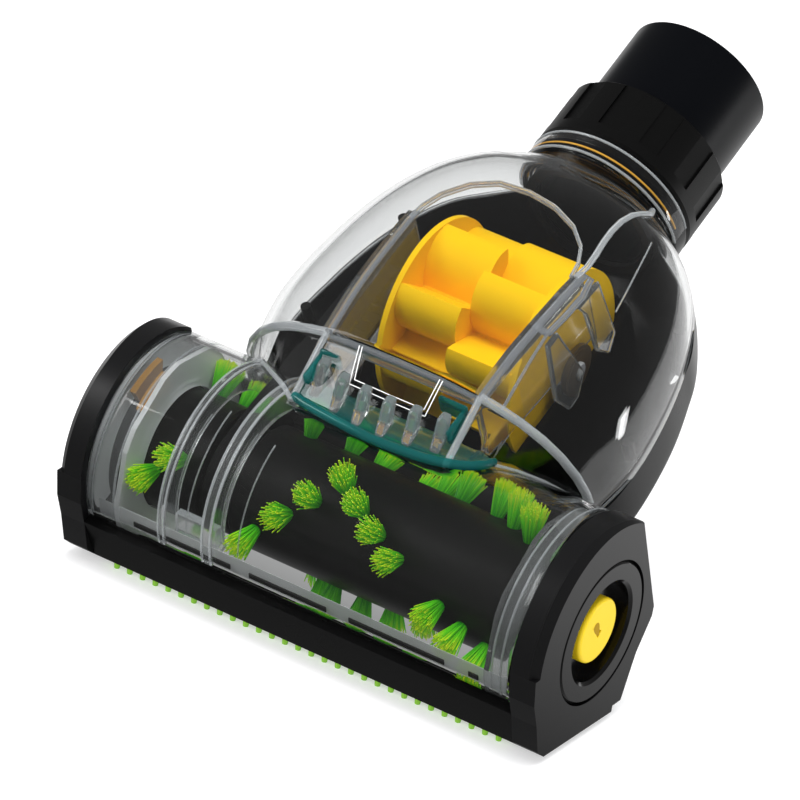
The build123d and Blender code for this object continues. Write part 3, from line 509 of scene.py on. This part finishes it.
# %% Dome of the clear cover
# Each station holds its place along the neck's plane, the half width and the height.
stations = (
    (31.0, 54.0, 36.8), (46.0, 56.0, 39.4), (64.0, 54.5, 39.8), (82.0, 50.5, 38.6),
    (96.0, 44.8, 35.6), (106.0, 38.0, 31.2), (113.0, 29.0, 26.2), (117.0, 23.8, 23.6),
    (120.0, 22.6, 22.6),
)
first_station = stations[0][0]
arch_power = 2.5
round_from, round_length = 112.0, 8.0
dome_front, dome_rear = 30.0, 119.5
dome_wall = 1.8


def station_size(along, column):
    """Half width (column 1) or height (column 2) of the housing at a place along the neck."""
    last = len(stations) - 2
    spot = max(0, min(last, sum(along >= s[0] for s in stations) - 1))
    a, b = stations[spot], stations[spot + 1]
    before, after = stations[max(spot - 1, 0)], stations[min(spot + 2, last + 1)]
    span = b[0] - a[0]
    slope_a = (b[column] - before[column]) / (b[0] - before[0])
    slope_b = (after[column] - a[column]) / (after[0] - a[0])
    t = (along - a[0]) / span
    return ((2 * t ** 3 - 3 * t ** 2 + 1) * a[column] + (t ** 3 - 2 * t ** 2 + t) * span * slope_a
        + (3 * t ** 2 - 2 * t ** 3) * b[column] + (t ** 3 - t ** 2) * span * slope_b)


def dome_rise(x, along):
    """Height of the dome's outside; in front of the first station the section stays the same."""
    along = max(along, first_station)
    share = min(1.0, abs(x) / station_size(along, 1)) ** arch_power
    return station_size(along, 2) * (1.0 - share) ** (1.0 / arch_power)


def dome_point(across, along):
    """Point of the dome; the arch turns into a half circle towards the neck."""
    turn = math.pi * (1.0 - across)
    arch = 2.0 / arch_power
    roundness = max(0.0, along - round_from) / round_length
    power = arch + (1.0 - arch) * roundness
    x = station_size(along, 1) * math.copysign(abs(math.cos(turn)) ** power, math.cos(turn))
    return on_neck(x, along, station_size(along, 2) * abs(math.sin(turn)) ** power)


bm = placed_grid(72, 48, lambda u, v: dome_point(u, dome_front + (dome_rear - dome_front) * v))
dome = add_piece("cover_dome", bm, cover_clear, wall=dome_wall, sharp=80.0)
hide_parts("top_cover")
print("dome", len(dome.data.vertices))

# %% [markdown]
# The front of the clear cover is a half tube round the roll, from the lip in front to the shell
# behind. It is a grid bent round the roll's axis, with rows and columns at the edges of the
# turbine's inlet, so that the faces over the inlet can be deleted cleanly.

# %% Brush chamber tube
tube_half = 67.3
tube_radius = 29.8
tube_wall = 2.0
lip_angle, tube_rear_angle = 211.0, 31.0
inlet_left, inlet_right = -22.5, 24.0
inlet_front, inlet_rear = 102.0, 62.0


def even_steps(start, end, count):
    """Evenly spaced numbers from the start up to the end, without the end itself."""
    return [start + i * (end - start) / count for i in range(count)]


columns = even_steps(-tube_half, inlet_left, 12) + even_steps(inlet_left, inlet_right, 10)
columns += even_steps(inlet_right, tube_half, 12) + [tube_half]
turns = even_steps(lip_angle, inlet_front, 28) + even_steps(inlet_front, inlet_rear, 12)
turns += even_steps(inlet_rear, tube_rear_angle, 8) + [tube_rear_angle]
bm = placed_grid(len(columns) - 1, len(turns) - 1, lambda u, v: on_roll(
    columns[round(u * (len(columns) - 1))], tube_radius, turns[round(v * (len(turns) - 1))]))
opening = []
for face in bm.faces:
    centre = face.calc_center_median() * 1000.0
    turn = math.degrees(math.atan2(centre.z - roll_z, centre.y - roll_y))
    if inlet_left < centre.x < inlet_right and inlet_rear < turn < inlet_front:
        opening.append(face)
bmesh.ops.delete(bm, geom=opening, context="FACES")
add_piece("cover_tube", bm, cover_clear, wall=tube_wall, sharp=60.0)
print("tube opening faces", len(opening))

# %% [markdown]
# Between the dome's front rim and the tube, the cover comes down in two flat facets and, in the
# middle, a slanted panel over the turbine's inlet. Each is a ruled sheet between two lines: the
# foot on the tube and the rim of the dome.

# %% Lines of the slanted front
slant_wall = 1.6
panel_half = 24.0
foot_limit = 29.7


def along_line(line, share):
    """Point on a line of given points, by share of their number."""
    place = share * (len(line) - 1)
    spot = min(int(place), len(line) - 2)
    return tuple(a + (b - a) * (place - spot) for a, b in zip(line[spot], line[spot + 1]))


def foot(x, along):
    """Point where the slanted front stands on the tube, as (x, along, rise)."""
    return (x, along, math.sqrt(tube_radius ** 2 - min(along, foot_limit) ** 2))


def rim(*places):
    """Points on the dome's front rim, as (x, along, rise)."""
    return [(x, dome_front, dome_rise(x, dome_front)) for x in places]


rim_right = rim(panel_half, 30, 36, 42, 47, 51, 53, 54)
rim_left = [(-x, along, rise) for x, along, rise in reversed(rim_right)]
foot_right = [foot(*place) for place in (
    (panel_half, 11.0), (29.3, 13.6), (32.4, 20.5), (37.0, 23.5), (43.0, 26.0), (48.5, 28.2),
    (52.0, 29.2), (54.0, foot_limit))]
foot_left = [foot(*place) for place in (
    (-54.0, foot_limit), (-53.0, 29.4), (-50.0, 28.0), (-46.5, 25.5), (-43.1, 23.1),
    (-36.5, 19.0), (-29.6, 15.0), (-panel_half, 11.0))]
panel_low = [foot(*place) for place in (
    (-panel_half, 11.0), (-10.0, 9.6), (4.0, 9.0), (15.0, 9.4), (panel_half, 11.0))]
panel_high = rim(-panel_half, -12.0, 0.0, 12.0, panel_half)
print("foot of the panel at its middle", panel_low[2])

# %% [markdown]
# A ruled sheet is a grid whose rows run straight from one line to the other, as a bent sheet
# of plastic does. The three sheets are made the same way, so one loop makes them.

# %% Front facets and slanted panel


def ruled(low, high, columns, rows):
    """Sheet between two lines of (x, along, rise) points."""
    def place(u, v):
        a, b = along_line(low, u), along_line(high, u)
        return on_neck(*(p + (q - p) * v for p, q in zip(a, b)))
    return placed_grid(columns, rows, place)


for name, low, high in (
        ("cover_facet_right", foot_right, rim_right), ("cover_facet_left", foot_left, rim_left),
        ("cover_panel", panel_low, panel_high)):
    sheet = ruled(low, high, 28, 8)
    add_piece(name, sheet, cover_clear, wall=slant_wall, sharp=50.0)
print("slanted sheets 3")

# %% [markdown]
# Thick edges of clear plastic catch the light as bright lines: the dome's front rim, the foot
# of the facets, the corners of the panel and the seam on the shell. On the dome itself an arch
# runs back over the turbine's right end, and a thin line shows where the window's back wall
# meets the dome. A thin streak on the dome's right side is a painted highlight, drawn as a bead.

# %% Bright moulded edges
arch_line = (
    (26.0, 74.0), (26.5, 79.0), (26.0, 84.0), (25.1, 89.0), (24.4, 94.0), (24.0, 99.0),
    (24.0, 103.9), (24.4, 108.0), (23.5, 112.5), (21.0, 116.5))
highlight_streak_line = ((32.2, 99.8), (35.0, 90.1), (37.0, 81.1), (38.5, 72.4))
back_line = (
    (24.6, 74.0), (23.8, 79.0), (21.5, 84.0), (16.1, 89.0), (8.0, 92.6), (-0.8, 94.0),
    (-9.9, 93.3), (-16.6, 89.2), (-21.9, 82.6), (-24.0, 77.0), (-24.6, 72.0))
seam_inset = 0.9


def on_dome(line, sunk):
    """Points over a line in plan, sunk a little below the dome's outside."""
    return [on_neck(x, along, dome_rise(x, along) - sunk) for x, along in line]


bm = bmesh.new()
for line, radius in (
        (rim_right, 1.25), (rim_left, 1.25), ((foot_right[0], rim_right[0]), 1.0),
        ((foot_left[-1], rim_left[-1]), 1.0), (foot_left, 0.8), (foot_right[2:], 0.7)):
    add_bead(bm, [on_neck(*point) for point in line], radius)
add_bead(bm, on_dome(arch_line, 0.4), 0.9)
# A painted highlight: a thin bright streak on the dome's right side.
add_bead(bm, on_dome(highlight_streak_line, 0.6), 0.25, 6)
add_bead(bm, on_dome(back_line, 0.8), 0.3, 6)
for side in (-1, 1):
    seam = [on_neck(side * (station_size(along, 1) - seam_inset), along, 0.5)
        for along in range(33, 119, 3)]
    add_bead(bm, seam, 0.75, 8)
add_piece("cover_edges_and_highlight_streak", bm, edge_clear, sharp=80.0)
print("bright edges 11")

# %% [markdown]
# The turbine's window: clear walls a little under two millimetres thick stand at both sides of
# the turbine up to the dome, a low rib runs round the back, and a cross wall closes the front.
# Each is an upright strip that follows a line in plan and ends just under the dome.

# %% Turbine window walls
window_wall = 1.8
wall_gap, rib_gap, lintel_gap = 1.9, 1.7, 1.6
wall_low, lintel_low = 8.0, 31.0
rib_depth, rib_wall = 1.2, 0.8
side_right = (
    (22.7, 30.0), (23.6, 40.0), (24.6, 52.0), (25.1, 60.0), (25.7, 70.0), (26.0, 76.5))
side_left = (
    (-24.8, 30.0), (-24.8, 40.0), (-24.8, 50.0), (-24.8, 60.0), (-24.8, 70.0), (-24.6, 74.0))
front_line = ((22.7, 30.8), (8.0, 30.8), (-8.0, 30.8), (-24.0, 30.8))


def upright_strip(line, gap, rows, low=None, depth=None):
    """Strip under the dome along a line in plan, down to a rise or by a depth from its top."""
    def place(u, v):
        x, along = along_line(line, u)
        top = dome_rise(x, along) - gap
        bottom = top - depth if low is None else low
        return on_neck(x, along, bottom + (top - bottom) * v)
    return placed_grid(8 * (len(line) - 1), rows, place)


for name, line in (("window_wall_right", side_right), ("window_wall_left", side_left)):
    strip = upright_strip(line, wall_gap, 4, low=wall_low)
    add_piece(name, strip, inner_clear, wall=window_wall, sharp=60.0)
strip = upright_strip(back_line, rib_gap, 2, depth=rib_depth)
add_piece("window_back_rib", strip, edge_clear, wall=rib_wall, sharp=60.0)
strip = upright_strip(front_line, lintel_gap, 4, low=lintel_low)
add_piece("window_lintel", strip, bar_clear, wall=window_wall)
print("window walls 4")

# %% [markdown]
# Seen from above, the thick tops of these walls are the grey bars that frame the window. Their
# grey is a painted reflection of the darker studio. On the right an outer bar and a lower one run
# beside the wall, and a short link joins them to it. A bar is a narrow strip that lies in the
# dome's surface.

# %% Window bars
bar_sunk, bar_wall = 1.2, 0.8
outer_line = ((28.2, 54.6), (29.0, 62.0), (29.3, 70.0), (28.0, 76.5))
lower_line = ((29.4, 30.5), (29.2, 42.0), (28.6, 54.6))
link_line = ((24.8, 54.0), (24.8, 56.0))
bars = (
    ("window_bar_right", side_right, 2.1), ("window_bar_left", side_left, 2.2),
    ("window_bar_outer", outer_line, 1.7), ("window_bar_lower", lower_line, 0.8),
    ("window_bar_link", link_line, 4.6))


def top_bar(line, width):
    """Flat bar in the dome's surface, from a line in plan outwards to +X."""
    def place(u, v):
        x, along = along_line(line, u)
        return on_neck(x + width * v, along, dome_rise(x + width * v, along) - bar_sunk)
    return placed_grid(8 * (len(line) - 1), 1, place)


for name, line, width in bars:
    add_piece(name, top_bar(line, width), bar_clear, wall=bar_wall)
print("window bars", len(bars))

# %% [markdown]
# The upper half of the neck's round flange is clear too. It is one closed section, turned half
# way round the neck, with bright beads on its two edges. The amber gleam in front of the black
# collar is a thin bead, because a gleam in clear plastic would need a very slow render.

# %% Neck flange
flange_section = (
    (22.2, 118.6), (23.6, 118.2), (24.5, 118.9), (24.7, 120.0), (24.7, 124.2), (24.2, 125.2),
    (22.6, 125.4), (20.6, 125.4), (20.6, 118.9))


def half_turn(section, columns):
    """Closed (radius, along) section, turned half way round the neck's axis."""
    rows = len(section)

    def place(u, v):
        radius, along = section[round(v * rows) % rows]
        turn = math.pi * (1.0 - u)
        return on_neck(radius * math.cos(turn), along, radius * math.sin(turn))
    bm = placed_grid(columns, rows, place)
    bmesh.ops.remove_doubles(bm, verts=bm.verts, dist=1e-6)
    bmesh.ops.recalc_face_normals(bm, faces=bm.faces)
    return bm


def neck_arc(radius, along, degrees_from, degrees_to, steps):
    """Points on an arc round the neck's axis."""
    turns = [math.radians(degrees_from + (degrees_to - degrees_from) * i / steps)
        for i in range(steps + 1)]
    return [on_neck(radius * math.cos(turn), along, radius * math.sin(turn)) for turn in turns]


add_piece("cover_neck_flange", half_turn(flange_section, 64), cover_clear, sharp=40.0)
bm = bmesh.new()
add_bead(bm, neck_arc(23.7, 121.2, 8.0, 172.0, 40), 0.35, 6)
add_piece("neck_gleam", bm, amber_gleam, sharp=80.0)
bm = bmesh.new()
for radius, along in ((24.6, 119.2), (24.5, 124.9)):
    add_bead(bm, neck_arc(radius, along, 0.0, 180.0, 48), 0.4, 8)
add_piece("cover_flange_edges", bm, edge_clear, sharp=80.0)
print("flange section corners", len(flange_section))

# %% [markdown]
# Two clear ribs fence the drive belt off, and a bar joins them at the foot. They are bands with
# a rectangular section round the roll's axis. Their walls hardly show, so thin beads draw the
# edges where they meet the tube and where they end above the roll.

# %% Belt ribs
rib_inner, rib_outer = 22.0, 29.4
outer_bead, inner_bead, thin_bead = 29.9, 22.4, 27.4
ribs = (("belt_rib_left", -44.0, 1.7, 0.3), ("belt_rib_right", -30.0, 2.6, 0.4))
inner_edges = ((-36.0, 120), (-19.5, 128))


def band(x_from, x_to, inner, outer, angle_from, angle_to):
    """Closed band round the roll's axis between two radii."""
    section = ((x_from, inner), (x_to, inner), (x_to, outer), (x_from, outer))

    def place(u, v):
        x, radius = section[round(v * 4) % 4]
        return on_roll(x, radius, angle_from + (angle_to - angle_from) * u)
    bm = placed_grid(60, 4, place)
    bmesh.ops.remove_doubles(bm, verts=bm.verts, dist=1e-6)
    bmesh.ops.holes_fill(bm, edges=bm.edges, sides=4)
    bmesh.ops.recalc_face_normals(bm, faces=bm.faces)
    return bm


for name, x, width, _ in ribs:
    rib = band(x, x + width, rib_inner, rib_outer, 40.0, 208.0)
    add_piece(name, rib, inner_clear)
bar = band(-41.6, -30.2, rib_inner, 24.6, 190.0, 206.0)
add_piece("belt_rib_bar", bar, edge_clear, bevel=0.5)
bm = bmesh.new()
for _, x_from, width, bead in ribs:
    for x in (x_from, x_from + width):
        add_bead(bm, roll_arc(x, outer_bead, 62, 209), bead, 8)
        add_bead(bm, roll_arc(x, inner_bead, 120, 207), 0.2, 6)
for x, angle_from in inner_edges:
    add_bead(bm, roll_arc(x, thin_bead, angle_from, 196), 0.22, 6)
add_piece("belt_rib_edges", bm, edge_clear, sharp=80.0)
print("belt ribs", len(ribs))

# %% [markdown]
# Behind each end shield a frosted ring lines the tube's end, a clear band follows it, and thin
# beads draw their edges. On the left two amber pads show through the ring. All of them are
# bands round the roll's axis.

# %% Tube ends
end_edges = ((-59.4, 27.3), (-65.6, 28.2), (59.4, 27.3), (62.6, 28.6), (65.6, 28.2))
pads = ((-65.0, 104.0, 132.0), (-61.0, 112.0, 140.0))
for name, x_from, x_to in (
        ("end_liner_left", -66.9, -65.9), ("end_liner_right", 65.9, 66.9)):
    liner = band(x_from, x_to, 20.5, 27.6, tube_rear_angle, lip_angle)
    add_piece(name, liner, frosted_clear)
for name, x_from, x_to in (("end_band_left", -65.8, -59.2), ("end_band_right", 59.2, 65.8)):
    add_piece(name, band(x_from, x_to, 26.9, 27.5, 60.0, 209.0), inner_clear)
bm = bmesh.new()
for x, radius in end_edges:
    add_bead(bm, roll_arc(x, radius, 58, 209), 0.35, 8)
add_piece("end_band_edges", bm, edge_clear, sharp=80.0)
for number, (x, angle_from, angle_to) in enumerate(pads):
    pad = band(x, x + 1.6, 21.5, 26.0, angle_from, angle_to)
    add_piece(f"amber_pad_{number + 1}", pad, amber_pad)
print("end edges", len(end_edges), "amber pads", len(pads))

# %% [markdown]
# A milky strip behind the lip carries a row of dark bars. Both lie between the tube and the
# reach of the bristles, so the strip is very thin and the bars stand only a little out of it.

# %% Lip strip
lip_bars = ((-52.8, -21.9), (-15.9, 8.4), (15.5, 45.0), (52.5, 55.5))
for number, (x_from, x_to) in enumerate(lip_bars):
    bar = band(x_from, x_to, 27.5, 27.75, 202.6, 206.0)
    add_piece(f"lip_bar_{number + 1}", bar, black_roll)
strip = band(-64.0, 64.0, 27.35, 27.45, 196.5, 208.0)
add_piece("lip_strip", strip, frosted_clear)
print("lip bars", len(lip_bars))

# %% [markdown]
# The teal inlet tray lies on the tube between the roll and the turbine. It is a grid that bends
# with the tube, from a bowed front edge to a straight rear one, and its front rim is a thick
# rounded bead along that edge.

# %% Teal inlet tray
# Each point of the front rim holds x and the angle round the roll's axis.
rim_line = (
    (-24.0, 97.0), (-21.4, 99.0), (-11.7, 102.0), (2.5, 104.6), (15.0, 103.0), (22.8, 100.0),
    (29.3, 94.0), (31.8, 86.0), (31.6, 78.0))
tray_radius = 30.5
tray_rear_half = 24.0
tray_rear_angle = 64.0


def smooth_line(line, count):
    """More points through a line of points, rounded by averaging its corners six times."""
    points = [along_line(line, i / (count - 1)) for i in range(count)]
    for _ in range(6):
        inner = [tuple((a + 2 * b + c) / 4 for a, b, c in zip(*points[i - 1:i + 2]))
            for i in range(1, count - 1)]
        points = [points[0]] + inner + [points[-1]]
    return points


rim_points = smooth_line(rim_line, 49)


def tray_point(u, v):
    """Point of the tray: u runs along the rim, v from the rim to the straight rear edge."""
    x, front = along_line(rim_points, u)
    rear_x = -tray_rear_half + 2 * tray_rear_half * u
    return on_roll(x + (rear_x - x) * v, tray_radius, front + (tray_rear_angle - front) * v)


tray = add_piece(
    "inlet_tray", placed_grid(48, 14, tray_point), teal_clear, wall=1.4)
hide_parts("inlet_grille")
bm = bmesh.new()
add_bead(bm, [on_roll(x, 30.7, angle) for x, angle in rim_points], 1.35, 12)
add_piece("inlet_tray_rim", bm, teal_clear, sharp=80.0)
print("tray rim points", len(rim_points))

# %% [markdown]
# A comb of clear fingers stands on the tray and leans back into the inlet. Each is a block that
# tapers upwards, and their feet and tops follow the bow of the rim. Four thin teal plates close
# the tray's two ends.

# %% Fingers and tray ends
finger_count = 6
finger_first, finger_pitch = -19.4, 7.7
finger_half = 1.6
comb_along = 12.9
# The rim bows round its middle: so much further back and lower for each square millimetre.
bow_centre, bow_back, bow_drop = 2.0, 0.008, 0.003
# Each level of a finger holds its rise, its half depth and how far it leans back.
finger_levels = ((28.8, 2.4, 0.0), (36.0, 1.6, 5.2))
# Each end plate holds its x from and to, its front and rear, and its top.
end_plates = (
    (-23.4, -16.8, 24.4, 26.0, 33.8), (-23.4, -21.8, 16.0, 26.0, 33.0),
    (13.6, 22.4, 25.0, 26.6, 34.4), (20.8, 22.4, 17.0, 26.6, 33.4))
plate_foot = 28.0


def level_corners(x_from, x_to, front, rear, rise):
    """Four corners of a level rectangle over the neck's plane."""
    return [on_neck(x, along, rise)
        for x, along in ((x_from, front), (x_to, front), (x_to, rear), (x_from, rear))]


bm = bmesh.new()
for number in range(finger_count):
    x = finger_first + finger_pitch * number
    bow = (x - bow_centre) ** 2
    along = comb_along + bow_back * bow
    corners = []
    for rise, half_depth, back in finger_levels:
        corners += level_corners(
            x - finger_half, x + finger_half, along - half_depth + back,
            along + half_depth + back, rise - bow_drop * bow)
    add_block(bm, corners)
add_piece("inlet_fingers", bm, finger_clear, bevel=0.7)
bm = bmesh.new()
for *plan, top in end_plates:
    add_block(bm, level_corners(*plan, plate_foot) + level_corners(*plan, top))
add_piece("inlet_tray_ends", bm, teal_clear, bevel=0.8)
print("fingers", finger_count, "end plates", len(end_plates))

# %% [markdown]
# A fine raised line marks a plain panel on the slanted front of the cover. Two thin beads side
# by side draw it, each along three sides of the panel; the window's lintel is the fourth. Their
# plain white is a painted highlight, where the raised line catches the lamp.

# %% Panel line
high_half, low_half = 13.0, 11.6
high_share, low_share = 0.97, 0.5
line_gap = 0.07


def panel_point(x, share):
    """Point a little above the slanted panel: share 0 at its foot, 1 at the window."""
    low = along_line(panel_low, (x + panel_half) / (2 * panel_half))
    high = (x, dome_front, dome_rise(x, dome_front))
    x, along, rise = [a + (b - a) * share for a, b in zip(low, high)]
    return on_neck(x, along - 0.2, rise + 0.25)


bm = bmesh.new()
for inset in (0.0, line_gap):
    inner_high, inner_low = high_half * (1.0 - inset), low_half - high_half * inset
    corners = (
        (-inner_high, high_share), (-inner_low, low_share + inset),
        (inner_low, low_share + inset), (inner_high, high_share))
    for (x_a, share_a), (x_b, share_b) in zip(corners, corners[1:]):
        side = [panel_point(x_a + (x_b - x_a) * i / 8, share_a + (share_b - share_a) * i / 8)
            for i in range(9)]
        add_bead(bm, side, 0.14, 6)
add_piece("panel_line", bm, highlight_white_line, sharp=80.0)
print("panel line half widths", high_half, low_half)

# %% [markdown]
# Two clear gusset legs hang down beside the right wall of the turbine's window. Each is a flat
# plate with six corners, pushed out to its thickness by an extrusion. As with the ribs, beads
# along the edges make the clear plates show.

# %% Gusset legs
# Corners of a leg as (along, rise); the first one is the corner at its top in front.
leg_outlines = (
    ((66.6, 33.6), (77.0, 32.6), (80.0, 9.0), (76.0, 4.3), (71.5, 10.5), (69.4, 28.0)),
    ((52.2, 33.8), (57.0, 33.8), (64.4, 9.8), (60.4, 3.6), (56.0, 3.4), (51.4, 12.3)))
leg_x = 29.3
leg_thickness = 1.8
bead_x = leg_x + leg_thickness / 2
bm = bmesh.new()
for outline in leg_outlines:
    leg = add_plate(bm, [on_neck(leg_x, along, rise) for along, rise in outline])
    faces = list({face for vert in leg for face in vert.link_faces})
    pushed = bmesh.ops.extrude_face_region(bm, geom=faces)["geom"]
    corners = [item for item in pushed if isinstance(item, bmesh.types.BMVert)]
    bmesh.ops.translate(bm, verts=corners, vec=(leg_thickness / 1000.0, 0.0, 0.0))
bmesh.ops.recalc_face_normals(bm, faces=bm.faces)
add_piece("gusset_legs", bm, inner_clear, bevel=0.4)
bm = bmesh.new()
rear_leg, front_leg = leg_outlines
for line in (rear_leg[1:], front_leg[1:] + front_leg[:1]):
    add_bead(bm, [on_neck(bead_x, along, rise) for along, rise in line], 0.35, 8)
add_piece("gusset_leg_edges", bm, edge_clear, sharp=80.0)
print("gusset legs", len(leg_outlines))

# %% [markdown]
# The turbine wheel is drawn anew, because in the photograph the blades are rounded shells that
# turn their backs to the front. Each row is one closed section with seven shells, drawn along
# the wheel's axis, and the second row is about half a blade further round. A thin disc closes
# each end.

# %% Turbine wheel
wheel_y = -9.735
wheel_z = 70.564
wheel_left, wheel_middle, wheel_right = -18.2, 1.65, 21.6
disc_radius, disc_thickness = 26.5, 1.6
blade_count = 7
# One shell and the hollow behind it, as (radius, angle): back, tip of the hollow, and up again.
shell_outline = (
    (26.2, 0.0), (26.1, 3.0), (25.7, 7.0), (25.0, 11.0), (23.9, 15.5), (22.4, 20.0),
    (20.5, 24.5), (18.4, 28.5), (16.2, 32.0), (14.4, 35.5), (14.2, 38.5), (15.6, 41.5),
    (18.0, 44.0), (21.0, 46.4), (24.0, 48.2), (26.2, 49.8))


def wheel_point(x, radius, angle):
    """Point round the wheel's axis; the angle starts at the rear and rises over the top."""
    turn = math.radians(angle)
    return Vector((
        x, wheel_y + radius * math.cos(turn), wheel_z + radius * math.sin(turn))) / 1000.0


def blade_row(bm, x_from, x_to, first_tip):
    """One row of shells as a closed section drawn from one side to the other."""
    section = []
    for number in range(blade_count):
        start = first_tip + number * 360.0 / blade_count
        section += [(radius, start + angle) for radius, angle in shell_outline]
    edges = []
    for x in (x_from, x_to):
        ring = add_plate(bm, [wheel_point(x, radius, angle) for radius, angle in section])
        edges += list({edge for vert in ring for edge in vert.link_edges})
    bmesh.ops.bridge_loops(bm, edges=edges)


bm = bmesh.new()
blade_row(bm, wheel_left, wheel_middle, 147.0)
blade_row(bm, wheel_middle, wheel_right, 171.5)
for x in (wheel_left, wheel_right - 0.1):
    stand = Matrix.Translation(wheel_point(x, 0, 0)) @ Matrix.Rotation(math.radians(90), 4, "Y")
    bmesh.ops.create_cone(
        bm, cap_ends=True, segments=96, radius1=disc_radius / 1000, radius2=disc_radius / 1000,
        depth=disc_thickness / 1000, matrix=stand)
bmesh.ops.recalc_face_normals(bm, faces=bm.faces)
wheel = add_piece("turbine_wheel", bm, turbine_yellow, body="turbine", sharp=32.0)
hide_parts("turbine_rotor")
print("wheel faces", len(wheel.data.polygons))

# %% [markdown]
# The knob has a shallow teardrop mark in its face. It is one flat face just above the knob's,
# found from the knob's box, and its circle is drawn in towards one end to make the drop. Its
# darker yellow is painted shade that stands in for the hollow of the mark.

# %% Knob mark
drop_length, drop_width = 2.6, 1.17
drop_taper = 0.55
drop_y, drop_z = roll_y - 1.0, roll_z + 0.8
lean = math.radians(-58.0)
face_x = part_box("lock_knob")[1][0] + 0.00004
bm = bmesh.new()
drop = bmesh.ops.create_circle(bm, segments=24, radius=1.0, cap_ends=True)["verts"]
for vert in drop:
    turn = math.atan2(vert.co.y, vert.co.x)
    length = drop_length * math.cos(turn)
    width = drop_width * math.sin(turn) * (1.0 - drop_taper * math.cos(turn))
    y = drop_y + length * math.cos(lean) - width * math.sin(lean)
    z = drop_z + length * math.sin(lean) + width * math.cos(lean)
    vert.co = Vector((face_x, y / 1000, z / 1000))
add_piece("knob_mark", bm, knob_painted_shade, body="knob")
print("knob mark corners", len(drop))

# %% [markdown]
# The brush has three rows of tufts, each a bundle of fine bristles that spread towards the tip.
# A bristle is a cone with only five sides, because there are thousands of them. The bundles
# turn with the roll, so they ride on it, and they stand for the plain cones of the CAD model.

# %% Bristles
right_tufts = (0.0, 7.2, 14.4, 21.6, 36.0, 43.2, 50.4)
left_tufts = (-6.4, -12.8, -21.6, -48.0, -54.2)
# Degrees that the row turns round the roll with each millimetre to the right or to the left.
right_slant, left_slant = 1.75, -3.2
bristle_count = 110
golden_angle = 2.39996
root_radius, longest = 16.6, 27.3
root_spread, tip_spread, tip_lift = 1.6, 3.9, 4.0
outer_shorter, uneven = 1.5, 1.2
side_sway, lift_sway = 0.35, 0.6
root_arc, tip_arc = 17.0, 26.0
root_thick, tip_thick = 0.00021, 0.00015


def add_tuft(bm, x, angle, rng):
    """Bundle of straight bristles from a narrow root to a wide, uneven tip."""
    for number in range(bristle_count):
        ring = math.sqrt((number + 0.5) / bristle_count)
        turn = golden_angle * number
        side, lift = ring * math.cos(turn), ring * math.sin(turn)
        reach = longest - outer_shorter * ring ** 2 - rng.uniform(0.0, uneven)
        root_turn = math.degrees(root_spread * lift / root_arc)
        root = on_roll(x + root_spread * side, root_radius, angle + root_turn)
        sway = rng.uniform(-side_sway, side_sway)
        tip_turn = math.degrees((tip_lift * lift + rng.uniform(-lift_sway, lift_sway)) / tip_arc)
        tip = on_roll(x + tip_spread * side + sway, reach, angle + tip_turn)
        rod = tip - root
        turned = rod.to_track_quat("Z", "Y").to_matrix().to_4x4()
        stand = Matrix.Translation((root + tip) / 2) @ turned
        bmesh.ops.create_cone(
            bm, cap_ends=True, segments=5, radius1=root_thick, radius2=tip_thick,
            depth=rod.length, matrix=stand)


for row, start in (("a", 125.0), ("b", 5.0), ("c", 245.0)):
    rng = random.Random("tufts " + row)
    bm = bmesh.new()
    for x in right_tufts + left_tufts:
        add_tuft(bm, x, start + x * (right_slant if x > 0 else left_slant), rng)
    bundle = add_piece(
        "bristles_" + row, bm, bristle_green, body="roll", sharp=60.0)
    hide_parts("tuft_row_" + row)
print("tufts", 3 * len(right_tufts + left_tufts))
